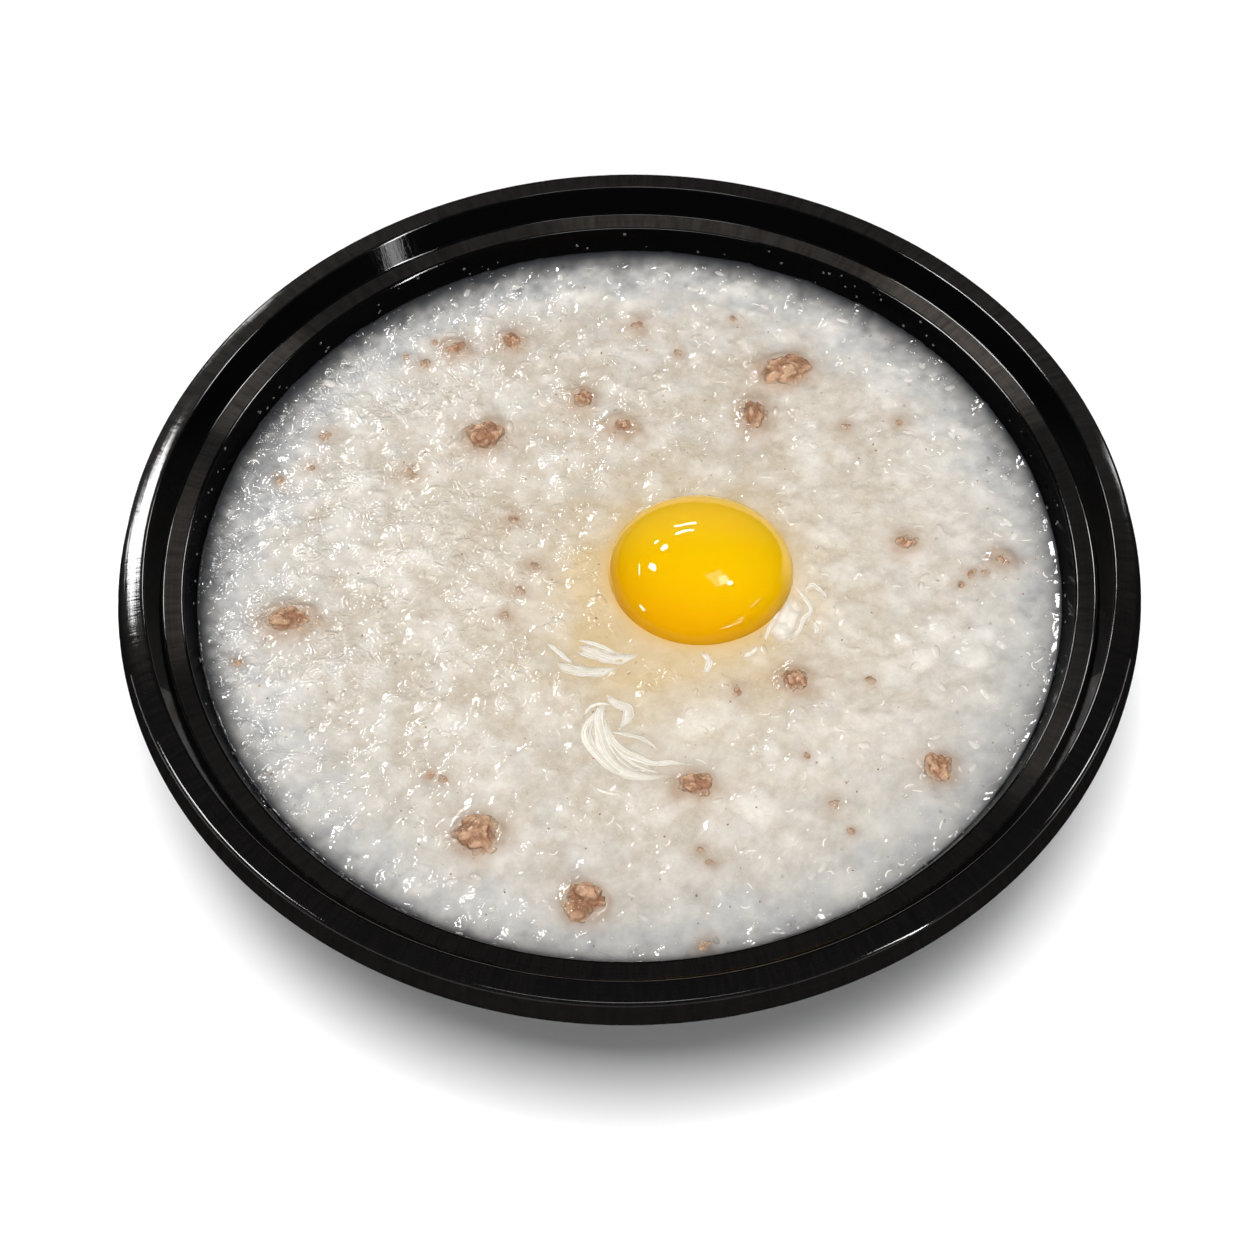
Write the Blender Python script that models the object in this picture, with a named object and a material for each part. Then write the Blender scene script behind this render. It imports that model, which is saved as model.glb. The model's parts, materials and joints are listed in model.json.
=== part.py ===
"""A round takeaway bowl of rice congee with a raw egg yolk, egg white and minced pork.

The bowl is one thin moulded shell turned about Z: a foot ring, a tapering wall, a flat ledge for the
lid, a step, a top land, and a skirt that flares out to the lip. The congee fills it from the floor
to its level, with a pocket for each piece that sits in it. Metres, +Z up, origin at the middle of
the base.
"""

import math

import bmesh
import bpy
from mathutils import Matrix, Vector, noise

MM = 0.001
GAP = 0.3 * MM  # left between pieces that touch

# Bowl: radii from the Z axis and heights above the table.
LIP_RADIUS = 95.0 * MM
HEIGHT = 56.5 * MM
WALL = 0.9 * MM
TURN_STEPS = 48
FLOOR_Z = 2.0 * MM
FLOOR_CORNER_RADIUS = 62.4 * MM
FLOOR_FILLET = 16.0 * MM
LEDGE_INNER_RADIUS = 83.2 * MM
LEDGE_OUTER_RADIUS = 86.8 * MM
LEDGE_DEPTH = 5.7 * MM
LEDGE_RISE = 0.4 * MM
STEP_TOP_RADIUS = 89.6 * MM
LAND_OUTER_RADIUS = 93.7 * MM
LAND_FALL = 0.5 * MM
SKIRT_BREAK_DEPTH = 2.3 * MM
LIP_DEPTH = 4.9 * MM
LIP_THICKNESS = 0.8 * MM
EDGE_FILLET = 0.8 * MM
FOOT_OUTER_RADIUS = 50.5 * MM
FOOT_WIDTH = 3.0 * MM
FOOT_HEIGHT = FLOOR_Z - WALL

# Congee
LEVEL = 45.5 * MM
SURFACE_SWELL = 0.4 * MM
SWELL_LENGTH = 16.0 * MM
SURFACE_RINGS = 5

# Egg yolk: a soft dome whose widest line lies at the congee's level.
YOLK_X = 13.5 * MM
YOLK_Y = 0.5 * MM
YOLK_HALF_LENGTH = 17.6 * MM
YOLK_HALF_WIDTH = 17.0 * MM
YOLK_RISE = 9.0 * MM
YOLK_SINK = 8.0 * MM
YOLK_FULLNESS = 0.9
YOLK_SIDES = 24
YOLK_RINGS = 10

# Egg white: hand-laid routes of the two strands, (x, y) in millimetres, and the patch by the yolk.
CURL_ROUTE = [(-4.2, -28.2), (-6.4, -32.6), (-6.5, -37.2), (-4.0, -41.2), (0.6, -43.8), (5.2, -44.2)]
TONGUE_ROUTE = [(-15.8, -14.6), (-12.4, -17.4), (-8.6, -19.0), (-4.6, -19.6), (-1.0, -19.2)]
CURL_WIDTH = 3.4 * MM
TONGUE_WIDTH = 4.2 * MM
STRAND_THICKNESS = 1.4 * MM
STRAND_RISE = 0.45 * MM
STRAND_SIDES = 8
STRAND_STATIONS = 11

# Lumps: (name, x, y, length along X, length along Y, height, rise above the congee, turn in degrees),
# in millimetres.
PORK_CRUMBS = [
    ("pork_crumb_01", -63.9, -9.6, 10.2, 7.8, 6.0, 2.2, 4),
    ("pork_crumb_02", -27.7, 33.9, 8.0, 8.4, 6.5, 2.6, 20),
    ("pork_crumb_03", 31.8, 49.0, 11.6, 8.4, 6.5, 2.6, 12),
    ("pork_crumb_04", 25.2, 37.3, 5.8, 10.8, 6.0, 2.2, -8),
    ("pork_crumb_05", -27.7, -55.8, 8.6, 9.0, 6.5, 2.6, 35),
    ("pork_crumb_06", -8.2, -69.4, 8.2, 8.0, 6.5, 2.6, 30),
    ("pork_crumb_07", 11.2, -46.3, 7.4, 5.8, 5.0, 1.8, -15),
    ("pork_crumb_08", 30.2, -24.3, 6.6, 5.6, 5.0, 1.8, -10),
    ("pork_crumb_09", 54.7, -43.3, 5.8, 6.6, 5.0, 2.0, 10),
    ("pork_crumb_10", -0.9, 35.2, 7.8, 4.8, 4.5, 1.4, 8),
    ("pork_crumb_11", 53.0, 6.6, 5.6, 4.2, 4.0, 1.3, 0),
    ("pork_crumb_12", -22.7, 57.8, 5.2, 5.2, 4.5, 1.6, 0),
    ("pork_crumb_13", -8.6, 42.8, 5.4, 5.0, 4.5, 1.6, 0),
    ("pork_crumb_14", 71.0, 2.0, 4.6, 4.8, 4.0, 1.2, -40),
    ("pork_crumb_15", -33.9, 56.2, 5.6, 4.6, 4.0, 1.2, -25),
]
FRILL = ("egg_white_frill", 31.2, -11.0, 6.4, 10.6, 1.7, 0.5, -38)
LARGE_LUMP = 7.0  # millimetres; a lump longer than this is modelled more finely
LUMP_SIDES, LUMP_RINGS = 12, 8
SMALL_LUMP_SIDES, SMALL_LUMP_RINGS = 10, 6
LUMP_ROUGHNESS = 0.30
LUMP_GRAIN = 1.9  # bumps across a lump of unit radius

BLACK_PLASTIC = (0.010, 0.010, 0.011)
RICE_GREY = (0.62, 0.59, 0.55)
YOLK_YELLOW = (0.95, 0.52, 0.005)
EGG_WHITE = (0.82, 0.80, 0.74)
PORK_BROWN = (0.30, 0.16, 0.10)


def material(name, colour, roughness):
    """A plain Principled material for one object."""
    made = bpy.data.materials.new(name)
    made.use_nodes = True
    shader = made.node_tree.nodes["Principled BSDF"]
    shader.inputs["Base Color"].default_value = (*colour, 1.0)
    shader.inputs["Roughness"].default_value = roughness
    shader.inputs["Metallic"].default_value = 0.0
    made.diffuse_color = (*colour, 1.0)
    return made


def add_object(name, mesh, colour, roughness):
    """Puts a mesh in the scene as the object of that name, smooth but for its sharp edges."""
    mesh.shade_smooth()
    mesh.set_sharp_from_angle(angle=math.radians(35))
    mesh.materials.append(material(name, colour, roughness))
    placed = bpy.data.objects.new(name, mesh)
    bpy.context.scene.collection.objects.link(placed)
    return placed


def mesh_from(name, bm):
    """Closes a bmesh's seams, turns its faces outwards and hands it over as a mesh."""
    bmesh.ops.remove_doubles(bm, verts=bm.verts, dist=0.001 * MM)
    bmesh.ops.recalc_face_normals(bm, faces=bm.faces)
    mesh = bpy.data.meshes.new(name)
    bm.to_mesh(mesh)
    bm.free()
    return mesh


def rounded(corners, arc_step=math.radians(30)):
    """The outline through (radius, height, fillet) corners, with each fillet as an arc."""
    points = []
    for i, (r, z, fillet) in enumerate(corners):
        if not fillet:
            points.append((r, z))
            continue
        corner = Vector((r, z))
        back = (Vector(corners[i - 1][:2]) - corner).normalized()
        ahead = (Vector(corners[i + 1][:2]) - corner).normalized()
        opening = back.angle(ahead)
        turn = math.pi - opening
        centre = corner + (back + ahead).normalized() * fillet / math.sin(opening / 2)
        start = corner + back * fillet / math.tan(opening / 2) - centre
        side = 1 if back.x * ahead.y - back.y * ahead.x < 0 else -1
        steps = max(2, round(turn / arc_step))
        for k in range(steps + 1):
            spoke = Matrix.Rotation(side * turn * k / steps, 2) @ start
            points.append(tuple(centre + spoke))
    return points


def turned(name, outline):
    """The closed body of an outline, which starts and ends on the Z axis, turned about Z."""
    bm = bmesh.new()
    verts = [bm.verts.new((r, 0.0, z)) for r, z in outline]
    edges = [bm.edges.new(pair) for pair in zip(verts, verts[1:])]
    bmesh.ops.spin(
        bm,
        geom=verts + edges,
        cent=(0, 0, 0),
        axis=(0, 0, 1),
        angle=math.tau,
        steps=TURN_STEPS,
        use_merge=True,
    )
    return mesh_from(name, bm)


def wall_radius(z):
    """The bowl's inner radius at a height on its straight wall."""
    ledge_z = HEIGHT - LEDGE_DEPTH
    share = (z - FLOOR_Z) / (ledge_z - FLOOR_Z)
    return FLOOR_CORNER_RADIUS + share * (LEDGE_INNER_RADIUS - FLOOR_CORNER_RADIUS)


def bowl_outline():
    """Floor, wall, ledge, step, land and lip inside, then back down outside to the foot ring."""
    ledge_z = HEIGHT - LEDGE_DEPTH
    land_z = HEIGHT - LAND_FALL
    lip_top = HEIGHT - LIP_DEPTH
    lip_bottom = lip_top - LIP_THICKNESS
    break_z = HEIGHT - SKIRT_BREAK_DEPTH
    break_radius = LAND_OUTER_RADIUS + 0.4 * MM
    slant = 1.09 * WALL  # the wall's thickness measured level
    foot_inner = FOOT_OUTER_RADIUS - FOOT_WIDTH
    return rounded([
        (0.0, FLOOR_Z, 0),
        (FLOOR_CORNER_RADIUS, FLOOR_Z, FLOOR_FILLET),
        (LEDGE_INNER_RADIUS, ledge_z, EDGE_FILLET),
        (LEDGE_OUTER_RADIUS, ledge_z + LEDGE_RISE, EDGE_FILLET),
        (STEP_TOP_RADIUS, HEIGHT, EDGE_FILLET),
        (LAND_OUTER_RADIUS, land_z, EDGE_FILLET),
        (break_radius, break_z, 0),
        (LIP_RADIUS, lip_top, 0),
        (LIP_RADIUS, lip_bottom, 0),
        (LIP_RADIUS - WALL, lip_bottom, 0),
        (break_radius - WALL, break_z - WALL / 2, 0),
        (LAND_OUTER_RADIUS - 1.1 * WALL, land_z - WALL, 0),
        (STEP_TOP_RADIUS + 0.6 * WALL, HEIGHT - WALL, 0),
        (LEDGE_OUTER_RADIUS + 0.7 * WALL, ledge_z + LEDGE_RISE - WALL, 0),
        (LEDGE_INNER_RADIUS + 0.6 * WALL, ledge_z - WALL, 0),
        (FLOOR_CORNER_RADIUS + slant - 0.5 * WALL, FOOT_HEIGHT, FLOOR_FILLET + WALL),
        (FOOT_OUTER_RADIUS, FOOT_HEIGHT, 0),
        (FOOT_OUTER_RADIUS - 0.3 * MM, 0.0, 0),
        (foot_inner + 0.3 * MM, 0.0, 0),
        (foot_inner, FOOT_HEIGHT, 0),
        (0.0, FOOT_HEIGHT, 0),
    ])


def congee_outline():
    """The bowl's inside less the gap, from its floor up to the level, and back to the axis on top."""
    level_gap = 1.09 * GAP  # the gap at the slanted wall, measured level
    edge = wall_radius(LEVEL) - level_gap
    corner = wall_radius(FLOOR_Z + GAP) - level_gap
    rings = [(edge * i / SURFACE_RINGS, LEVEL, 0) for i in reversed(range(SURFACE_RINGS))]
    return rounded([
        (0.0, FLOOR_Z + GAP, 0),
        (corner, FLOOR_Z + GAP, FLOOR_FILLET - GAP),
        (edge, LEVEL, 0),
        *rings,
    ])


def swell(x, y):
    """How far the congee's surface stands above or below its level at a place."""
    here = Vector((x, y, 0)) / SWELL_LENGTH
    return SURFACE_SWELL * noise.noise(here)


def yolk_mesh(name, grow):
    """A superellipsoid dome, flatter below than above, grown outwards all round."""
    bm = bmesh.new()
    bmesh.ops.create_uvsphere(bm, u_segments=YOLK_SIDES, v_segments=YOLK_RINGS, radius=1.0)
    for v in bm.verts:
        level_part = math.hypot(v.co.x, v.co.y)
        fuller = level_part ** (YOLK_FULLNESS - 1) if level_part > 1e-6 else 0.0
        tall = (YOLK_RISE if v.co.z > 0 else YOLK_SINK) + grow
        v.co.x *= fuller * (YOLK_HALF_LENGTH + grow)
        v.co.y *= fuller * (YOLK_HALF_WIDTH + grow)
        v.co.z *= tall
    bmesh.ops.translate(bm, verts=bm.verts, vec=(YOLK_X, YOLK_Y, LEVEL))
    return mesh_from(name, bm)


def lump_mesh(name, grow, x, y, length, width, height, rise, turn):
    """An ellipsoid roughened by noise, its top at rise above the level, grown outwards all round."""
    bm = bmesh.new()
    large = max(length, width) > LARGE_LUMP
    sides = LUMP_SIDES if large else SMALL_LUMP_SIDES
    rings = LUMP_RINGS if large else SMALL_LUMP_RINGS
    bmesh.ops.create_uvsphere(bm, u_segments=sides, v_segments=rings, radius=1.0)
    bmesh.ops.triangulate(bm, faces=bm.faces)
    half = Vector((length, width, height)) * MM / 2
    place = Vector((x, y, 0)) * MM
    shift = Vector((x, y, length))
    spin = Matrix.Rotation(math.radians(turn), 3, "Z")
    for v in bm.verts:
        bump = noise.noise(v.co * LUMP_GRAIN + shift)
        shape = v.co * (1 + LUMP_ROUGHNESS * bump)
        v.co = Vector(s * h for s, h in zip(shape, half))
    place.z = LEVEL + rise * MM - max(v.co.z for v in bm.verts)
    for v in bm.verts:
        v.co = spin @ (v.co + v.co.normalized() * grow) + place
    return mesh_from(name, bm)


def route_points(route, count):
    """Evenly numbered points on the Catmull-Rom curve through a route given in millimetres."""
    ends = [Vector(route[0]) * 2 - Vector(route[1]), Vector(route[-1]) * 2 - Vector(route[-2])]
    knots = [ends[0], *(Vector(p) for p in route), ends[1]]
    points = []
    for i in range(count):
        place = i * (len(route) - 1) / (count - 1)
        k = min(int(place), len(route) - 2)
        t = place - k
        a, b, c, d = knots[k:k + 4]
        curve = 2 * b + (c - a) * t + (2 * a - 5 * b + 4 * c - d) * t**2
        points.append((curve + (3 * b - a - 3 * c + d) * t**3) * MM / 2)
    return points


def strand_mesh(name, grow, route, width):
    """A flat strand with pointed ends: an ellipse carried along the route, wide in the middle."""
    bm = bmesh.new()
    points = route_points(route, STRAND_STATIONS)
    rings = []
    for i, here in enumerate(points):
        ahead = points[min(i + 1, len(points) - 1)] - points[max(i - 1, 0)]
        along = ahead.normalized()
        across = Vector((-along.y, along.x))
        belly = math.sin(math.pi * (i + 0.6) / (len(points) + 0.2)) ** 0.6
        half_width = width / 2 * belly + grow
        half_thick = STRAND_THICKNESS / 2 * belly + grow
        middle = LEVEL + STRAND_RISE - STRAND_THICKNESS / 2
        ends = {0: -grow, len(points) - 1: grow}
        centre = here + along * ends.get(i, 0.0)
        ring = []
        for k in range(STRAND_SIDES):
            angle = math.tau * k / STRAND_SIDES
            side = centre + across * half_width * math.cos(angle)
            ring.append(bm.verts.new((side.x, side.y, middle + half_thick * math.sin(angle))))
        rings.append(ring)
    for one, two in zip(rings, rings[1:]):
        for k in range(STRAND_SIDES):
            j = (k + 1) % STRAND_SIDES
            bm.faces.new((one[k], one[j], two[j], two[k]))
    bm.faces.new(rings[0])
    bm.faces.new(rings[-1])
    return mesh_from(name, bm)


def make_bowl():
    return add_object("bowl", turned("bowl", bowl_outline()), BLACK_PLASTIC, 0.18)


def make_congee():
    """The filling, its surface gently uneven inside the edge that meets the wall."""
    mesh = turned("congee", congee_outline())
    edge = wall_radius(LEVEL) - 2 * GAP
    for v in mesh.vertices:
        if v.co.z > LEVEL - GAP and math.hypot(v.co.x, v.co.y) < edge:
            v.co.z += swell(v.co.x, v.co.y)
    return add_object("congee", mesh, RICE_GREY, 0.3)


def pieces():
    """(name, function that gives its mesh for a growth, colour, roughness) of what sits in the congee."""
    yield "egg_yolk", yolk_mesh, (), YOLK_YELLOW, 0.12
    yield "egg_white_curl", strand_mesh, (CURL_ROUTE, CURL_WIDTH), EGG_WHITE, 0.25
    yield "egg_white_tongue", strand_mesh, (TONGUE_ROUTE, TONGUE_WIDTH), EGG_WHITE, 0.25
    yield FRILL[0], lump_mesh, FRILL[1:], EGG_WHITE, 0.25
    for crumb in PORK_CRUMBS:
        yield crumb[0], lump_mesh, crumb[1:], PORK_BROWN, 0.45


def cut_pockets(congee, cutters):
    """Cuts the congee round everything in a collection."""
    cut = congee.modifiers.new("pockets", "BOOLEAN")
    cut.operation = "DIFFERENCE"
    cut.operand_type = "COLLECTION"
    cut.collection = cutters
    cut.solver = "EXACT"


def main():
    for old in list(bpy.data.objects):
        bpy.data.objects.remove(old)
    make_bowl()
    congee = make_congee()
    cutters = bpy.data.collections.new("pocket_cutters")
    bpy.context.scene.collection.children.link(cutters)
    for name, shape, sizes, colour, roughness in pieces():
        add_object(name, shape(name, 0.0, *sizes), colour, roughness)
        cutter = bpy.data.objects.new(name + "_pocket", shape(name + "_pocket", GAP, *sizes))
        cutter.hide_render = True
        cutter.display_type = "WIRE"
        cutters.objects.link(cutter)
    cut_pockets(congee, cutters)


main()
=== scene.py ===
"""The looks of a takeaway bowl of rice congee with a raw egg yolk, egg white and minced pork.

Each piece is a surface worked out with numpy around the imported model: the bowl is a profile turned
about Z, the congee is a height over a round grid, the yolk and the crumbs are swollen balls, and the
egg white is made of strands carried along routes. Metres, +Z up, origin at the middle of the base.
"""

import functools
import json
import math

import bpy
import numpy as np
from bpy.props import FloatProperty, FloatVectorProperty, IntProperty, PointerProperty
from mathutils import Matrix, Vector

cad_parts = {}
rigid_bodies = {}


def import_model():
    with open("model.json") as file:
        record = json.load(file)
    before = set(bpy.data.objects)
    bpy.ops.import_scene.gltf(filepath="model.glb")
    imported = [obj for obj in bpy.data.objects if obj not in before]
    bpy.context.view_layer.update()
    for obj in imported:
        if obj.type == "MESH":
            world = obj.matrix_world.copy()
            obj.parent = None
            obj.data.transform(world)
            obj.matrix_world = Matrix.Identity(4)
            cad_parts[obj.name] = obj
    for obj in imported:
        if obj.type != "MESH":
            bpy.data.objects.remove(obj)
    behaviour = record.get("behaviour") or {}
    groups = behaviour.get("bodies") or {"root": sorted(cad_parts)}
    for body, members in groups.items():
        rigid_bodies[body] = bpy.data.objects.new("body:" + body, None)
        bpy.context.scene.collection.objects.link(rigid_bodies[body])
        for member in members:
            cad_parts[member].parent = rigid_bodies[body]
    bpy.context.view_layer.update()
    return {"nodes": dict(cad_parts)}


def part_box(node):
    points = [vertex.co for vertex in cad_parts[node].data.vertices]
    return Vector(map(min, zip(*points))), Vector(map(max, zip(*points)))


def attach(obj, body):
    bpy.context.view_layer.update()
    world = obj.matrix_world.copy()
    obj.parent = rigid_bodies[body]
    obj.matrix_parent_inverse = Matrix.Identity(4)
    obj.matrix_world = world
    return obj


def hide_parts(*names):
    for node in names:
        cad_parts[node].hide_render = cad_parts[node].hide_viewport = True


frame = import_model()

bl_info = {
    "name": "Congee bowl",
    "version": (1, 0, 0),
    "blender": (4, 5, 0),
    "location": "3D View > Sidebar > Congee",
    "description": "Builds a takeaway bowl of congee with egg yolk, egg white and minced pork",
    "category": "Add Mesh",
}

MM = 0.001
TURN = 2 * math.pi


# Settings


def length(name, description, default_mm):
    """A length property in metres, its default given in millimetres."""
    return FloatProperty(
        name=name, description=description, default=default_mm * MM, min=0.0, unit="LENGTH", precision=5
    )


def tint(name, description, default):
    """A colour property, linear red, green and blue."""
    return FloatVectorProperty(
        name=name, description=description, default=default, min=0.0, max=1.0, size=3, subtype="COLOR"
    )


class BowlSettings(bpy.types.PropertyGroup):
    """Sizes and finish of the moulded bowl."""

    lip_radius: length("Lip radius", "From the axis to the outer edge of the lip", 95.0)
    height: length("Height", "From the table to the top of the step", 56.5)
    wall: length("Wall", "Thickness of the moulded wall", 0.9)
    floor_height: length("Floor height", "From the table to the top of the floor", 2.0)
    turn_steps: IntProperty(name="Turn steps", description="Faces round the bowl", default=256, min=32)
    plastic: tint("Plastic", "Colour of the black plastic", (0.0014, 0.0014, 0.0017))
    # The colour of the reflection painted on the rim.
    worn: tint("Painted sheen", "Colour of the reflection painted on the top of the rim", (0.133, 0.117, 0.102))


class CongeeSettings(bpy.types.PropertyGroup):
    """Level, relief and colours of the congee."""

    level: length("Level", "Height of the congee's surface above the table", 45.5)
    swell: length("Swell", "Height of the broad unevenness", 0.3)
    grain_height: length("Grain height", "How far softened grains stand up", 0.42)
    film_height: length("Film height", "Height of the fine wet relief", 0.045)
    grain_count: IntProperty(name="Grains", description="Softened grains under the film", default=3000)
    loose_grains: IntProperty(name="Loose grains", description="Grains that stand out", default=320)
    rice_crumbs: IntProperty(name="Rice crumbs", description="Tiny white crumbs of rice", default=700)
    # The white shreds also stand for painted glints.
    rice_shreds: IntProperty(name="Rice shreds and glints", description="Short curled shreds of rice", default=180)
    surface_steps: IntProperty(name="Surface steps", description="Points across the surface", default=296)
    gruel: tint("Gruel", "Colour of the thin rice gruel", (0.495, 0.430, 0.345))
    curd: tint("Curd", "Colour of the burst rice", (0.750, 0.716, 0.660))
    clear: tint("Clear gruel", "Colour of the gruel where it is thin", (0.510, 0.512, 0.508))
    # Also the colour of the shade painted round the yolk's foot.
    stain: tint("Stain", "Colour of the egg that ran into the congee", (0.58, 0.41, 0.17))
    broth: tint("Broth", "Colour of the meat juice round the crumbs", (0.36, 0.235, 0.15))
    # Also the colour of the shade painted along the wall.
    shallow: tint("Shallow", "Colour where the dark wall shows through", (0.022, 0.023, 0.026))


class EggSettings(bpy.types.PropertyGroup):
    """Sizes and colours of the egg."""

    yolk_rings: IntProperty(name="Yolk rings", description="Faces from its top to its foot", default=80)
    yolk: tint("Yolk", "Colour of the yolk's top", (0.765, 0.465, 0.0))
    # Painted shade: the yolk's colour low down and towards the front and the left.
    yolk_shade_colour: tint("Shaded yolk", "Colour low on the yolk", (0.70, 0.335, 0.0))
    # Also painted over the back of the yolk as light.
    film: tint("Film", "Colour of the thin film on the yolk's far edge", (1.0, 0.62, 0.09))
    white: tint("White", "Colour of the set egg white", (0.87, 0.835, 0.755))


class PorkSettings(bpy.types.PropertyGroup):
    """Colours and grain of the minced pork."""

    light: tint("Light meat", "Colour of the raised meat", (0.60, 0.385, 0.245))
    # Also the colour of the shade painted in the creases of the meat.
    dark: tint("Dark meat", "Colour in the pits of the meat", (0.30, 0.155, 0.088))
    nodules: FloatProperty(name="Nodules", description="Depth of the lumps in a crumb", default=0.26)
    specks: IntProperty(name="Specks", description="Dark specks on the congee", default=260)


class StageSettings(bpy.types.PropertyGroup):
    """Floor, light and camera."""

    floor: tint("Floor", "Colour of the floor", (0.90, 0.90, 0.90))
    brightness: FloatProperty(name="Brightness", description="Strength of every light", default=1.0)
    ambient: FloatProperty(name="Ambient", description="Strength of the dim surroundings", default=0.05)
    camera_height: length("Camera height", "Above the table", 432.5)
    camera_distance: length("Camera distance", "In front of the bowl's axis", 270.8)
    camera_turn: FloatVectorProperty(
        name="Camera turn",
        description="Tilt, roll and heading of the camera",
        default=(math.radians(33.79), math.radians(0.561), math.radians(-0.722)),
        size=3,
        subtype="EULER",
        unit="ROTATION",
    )
    focal_length: FloatProperty(name="Focal length", description="In millimetres", default=71.77)


# Noise and easing


def ease(share):
    """0 below 0, 1 above 1, and 3t^2 - 2t^3 between."""
    share = np.clip(share, 0.0, 1.0)
    return share * share * (3 - 2 * share)


def lattice_noise(points, seed):
    """Smooth noise from -1 to 1: random numbers on a whole-number lattice, eased between its corners."""
    table = np.random.default_rng(seed).uniform(-1, 1, 4096)
    cell = np.floor(points).astype(np.int64)
    share = ease(points - cell)
    total = np.zeros(len(points))
    for corner in np.ndindex(2, 2, 2):
        place = (cell + corner) * (73856093, 19349663, 83492791)
        key = (place[:, 0] ^ place[:, 1] ^ place[:, 2]) & 4095
        weight = np.where(corner, share, 1 - share).prod(axis=1)
        total += weight * table[key]
    return total


def layered_noise(points, seed, layers=3, fade=0.5):
    """Noise added to itself at double the fineness and `fade` of the height, `layers` times."""
    total = np.zeros(len(points))
    for layer in range(layers):
        total += fade**layer * lattice_noise(points * 2**layer, seed + layer)
    return total


def flat_noise(x, y, size, seed, layers=2):
    """Layered noise over a plane, with features about `size` across."""
    points = np.stack([x.ravel() / size, y.ravel() / size, np.full(x.size, 0.37)], axis=1)
    return layered_noise(points, seed, layers).reshape(x.shape)


# Meshes


def add_piece(name, points, faces, finish, nodes=(), masks=None, normals=None):
    """Puts a closed surface in the scene, riding on the one body and standing for its CAD nodes.

    It is smooth, or has the normals that are given. The masks are painted on its points.
    """
    mesh = bpy.data.meshes.new(name)
    mesh.from_pydata(np.asarray(points, float).tolist(), [], faces)
    if mesh.validate():
        raise RuntimeError(f"{name} has broken faces")
    mesh.shade_smooth()
    if normals is not None:
        mesh.normals_split_custom_set_from_vertices(normals.tolist())
    for mask, values in (masks or {}).items():
        layer = mesh.attributes.new(mask, "FLOAT", "POINT")
        layer.data.foreach_set("value", np.asarray(values, np.float32))
    mesh.materials.append(finish)
    piece = bpy.data.objects.new(name, mesh)
    bpy.context.scene.collection.objects.link(piece)
    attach(piece, "root")
    if nodes:
        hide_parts(*nodes)
    return piece


def ring_faces(rows, columns, start=0):
    """Quads between `rows` closed rings of `columns` points, numbered ring after ring."""
    row, column = np.meshgrid(np.arange(rows - 1), np.arange(columns), indexing="ij")
    here, after = row * columns + column, row * columns + (column + 1) % columns
    quads = np.stack([here, after, after + columns, here + columns], axis=-1)
    return (quads.reshape(-1, 4) + start).tolist()


def fan_faces(tip, ring, outward_up):
    """Triangles from a tip to the ring of point numbers round it."""
    after = np.roll(ring, -1)
    tips = np.full(len(ring), tip)
    order = [tips, ring, after] if outward_up else [tips, after, ring]
    return np.stack(order, axis=1).tolist()


def ball(rings, sides):
    """Unit directions and faces of a closed ball: two poles and `rings` rings between them."""
    polar = math.pi * np.arange(1, rings + 1) / (rings + 1)
    polar, turn = np.meshgrid(polar, TURN * np.arange(sides) / sides, indexing="ij")
    body = np.stack([np.sin(polar) * np.cos(turn), np.sin(polar) * np.sin(turn), np.cos(polar)], axis=-1)
    points = np.concatenate([[[0, 0, 1]], body.reshape(-1, 3), [[0, 0, -1]]])
    quads = [face[::-1] for face in ring_faces(rings, sides, start=1)]
    top = fan_faces(0, np.arange(1, sides + 1), True)
    foot = fan_faces(len(points) - 1, np.arange(len(points) - 1 - sides, len(points) - 1), False)
    return points, quads + top + foot


def scatter(shape, faces, places, sizes, turns, tilts=None):
    """Copies of one small shape: each is stretched, tilted about X, turned about Z and put in its place."""
    shapes = shape[None] * sizes[:, None, :]
    if tilts is not None:
        c, s = np.cos(tilts)[:, None], np.sin(tilts)[:, None]
        y, z = shapes[..., 1].copy(), shapes[..., 2].copy()
        shapes[..., 1] = c * y - s * z
        shapes[..., 2] = s * y + c * z
    c, s = np.cos(turns)[:, None], np.sin(turns)[:, None]
    x, y = shapes[..., 0].copy(), shapes[..., 1].copy()
    shapes[..., 0] = c * x - s * y
    shapes[..., 1] = s * x + c * y
    points = (shapes + places[:, None, :]).reshape(-1, 3)
    count = len(shape)
    return points, [[i + k * count for i in face] for k in range(len(places)) for face in faces]


# Points round a strand of egg white, and along its route.
STRAND_SIDES = 10
ROUTE_STEPS = 60


def smooth_route(route, count):
    """Points at even steps of the Catmull-Rom curve through a route, whose rows may hold any numbers."""
    knots = np.asarray(route, float)
    knots = np.concatenate([[2 * knots[0] - knots[1]], knots, [2 * knots[-1] - knots[-2]]])
    place = np.linspace(0, len(route) - 1, count)
    k = np.minimum(place.astype(int), len(route) - 2)
    t = (place - k)[:, None]
    a, b, c, d = (knots[k + i] for i in range(4))
    return (2 * b + (c - a) * t + (2 * a - 5 * b + 4 * c - d) * t**2 + (3 * b - a - 3 * c + d) * t**3) / 2


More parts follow.
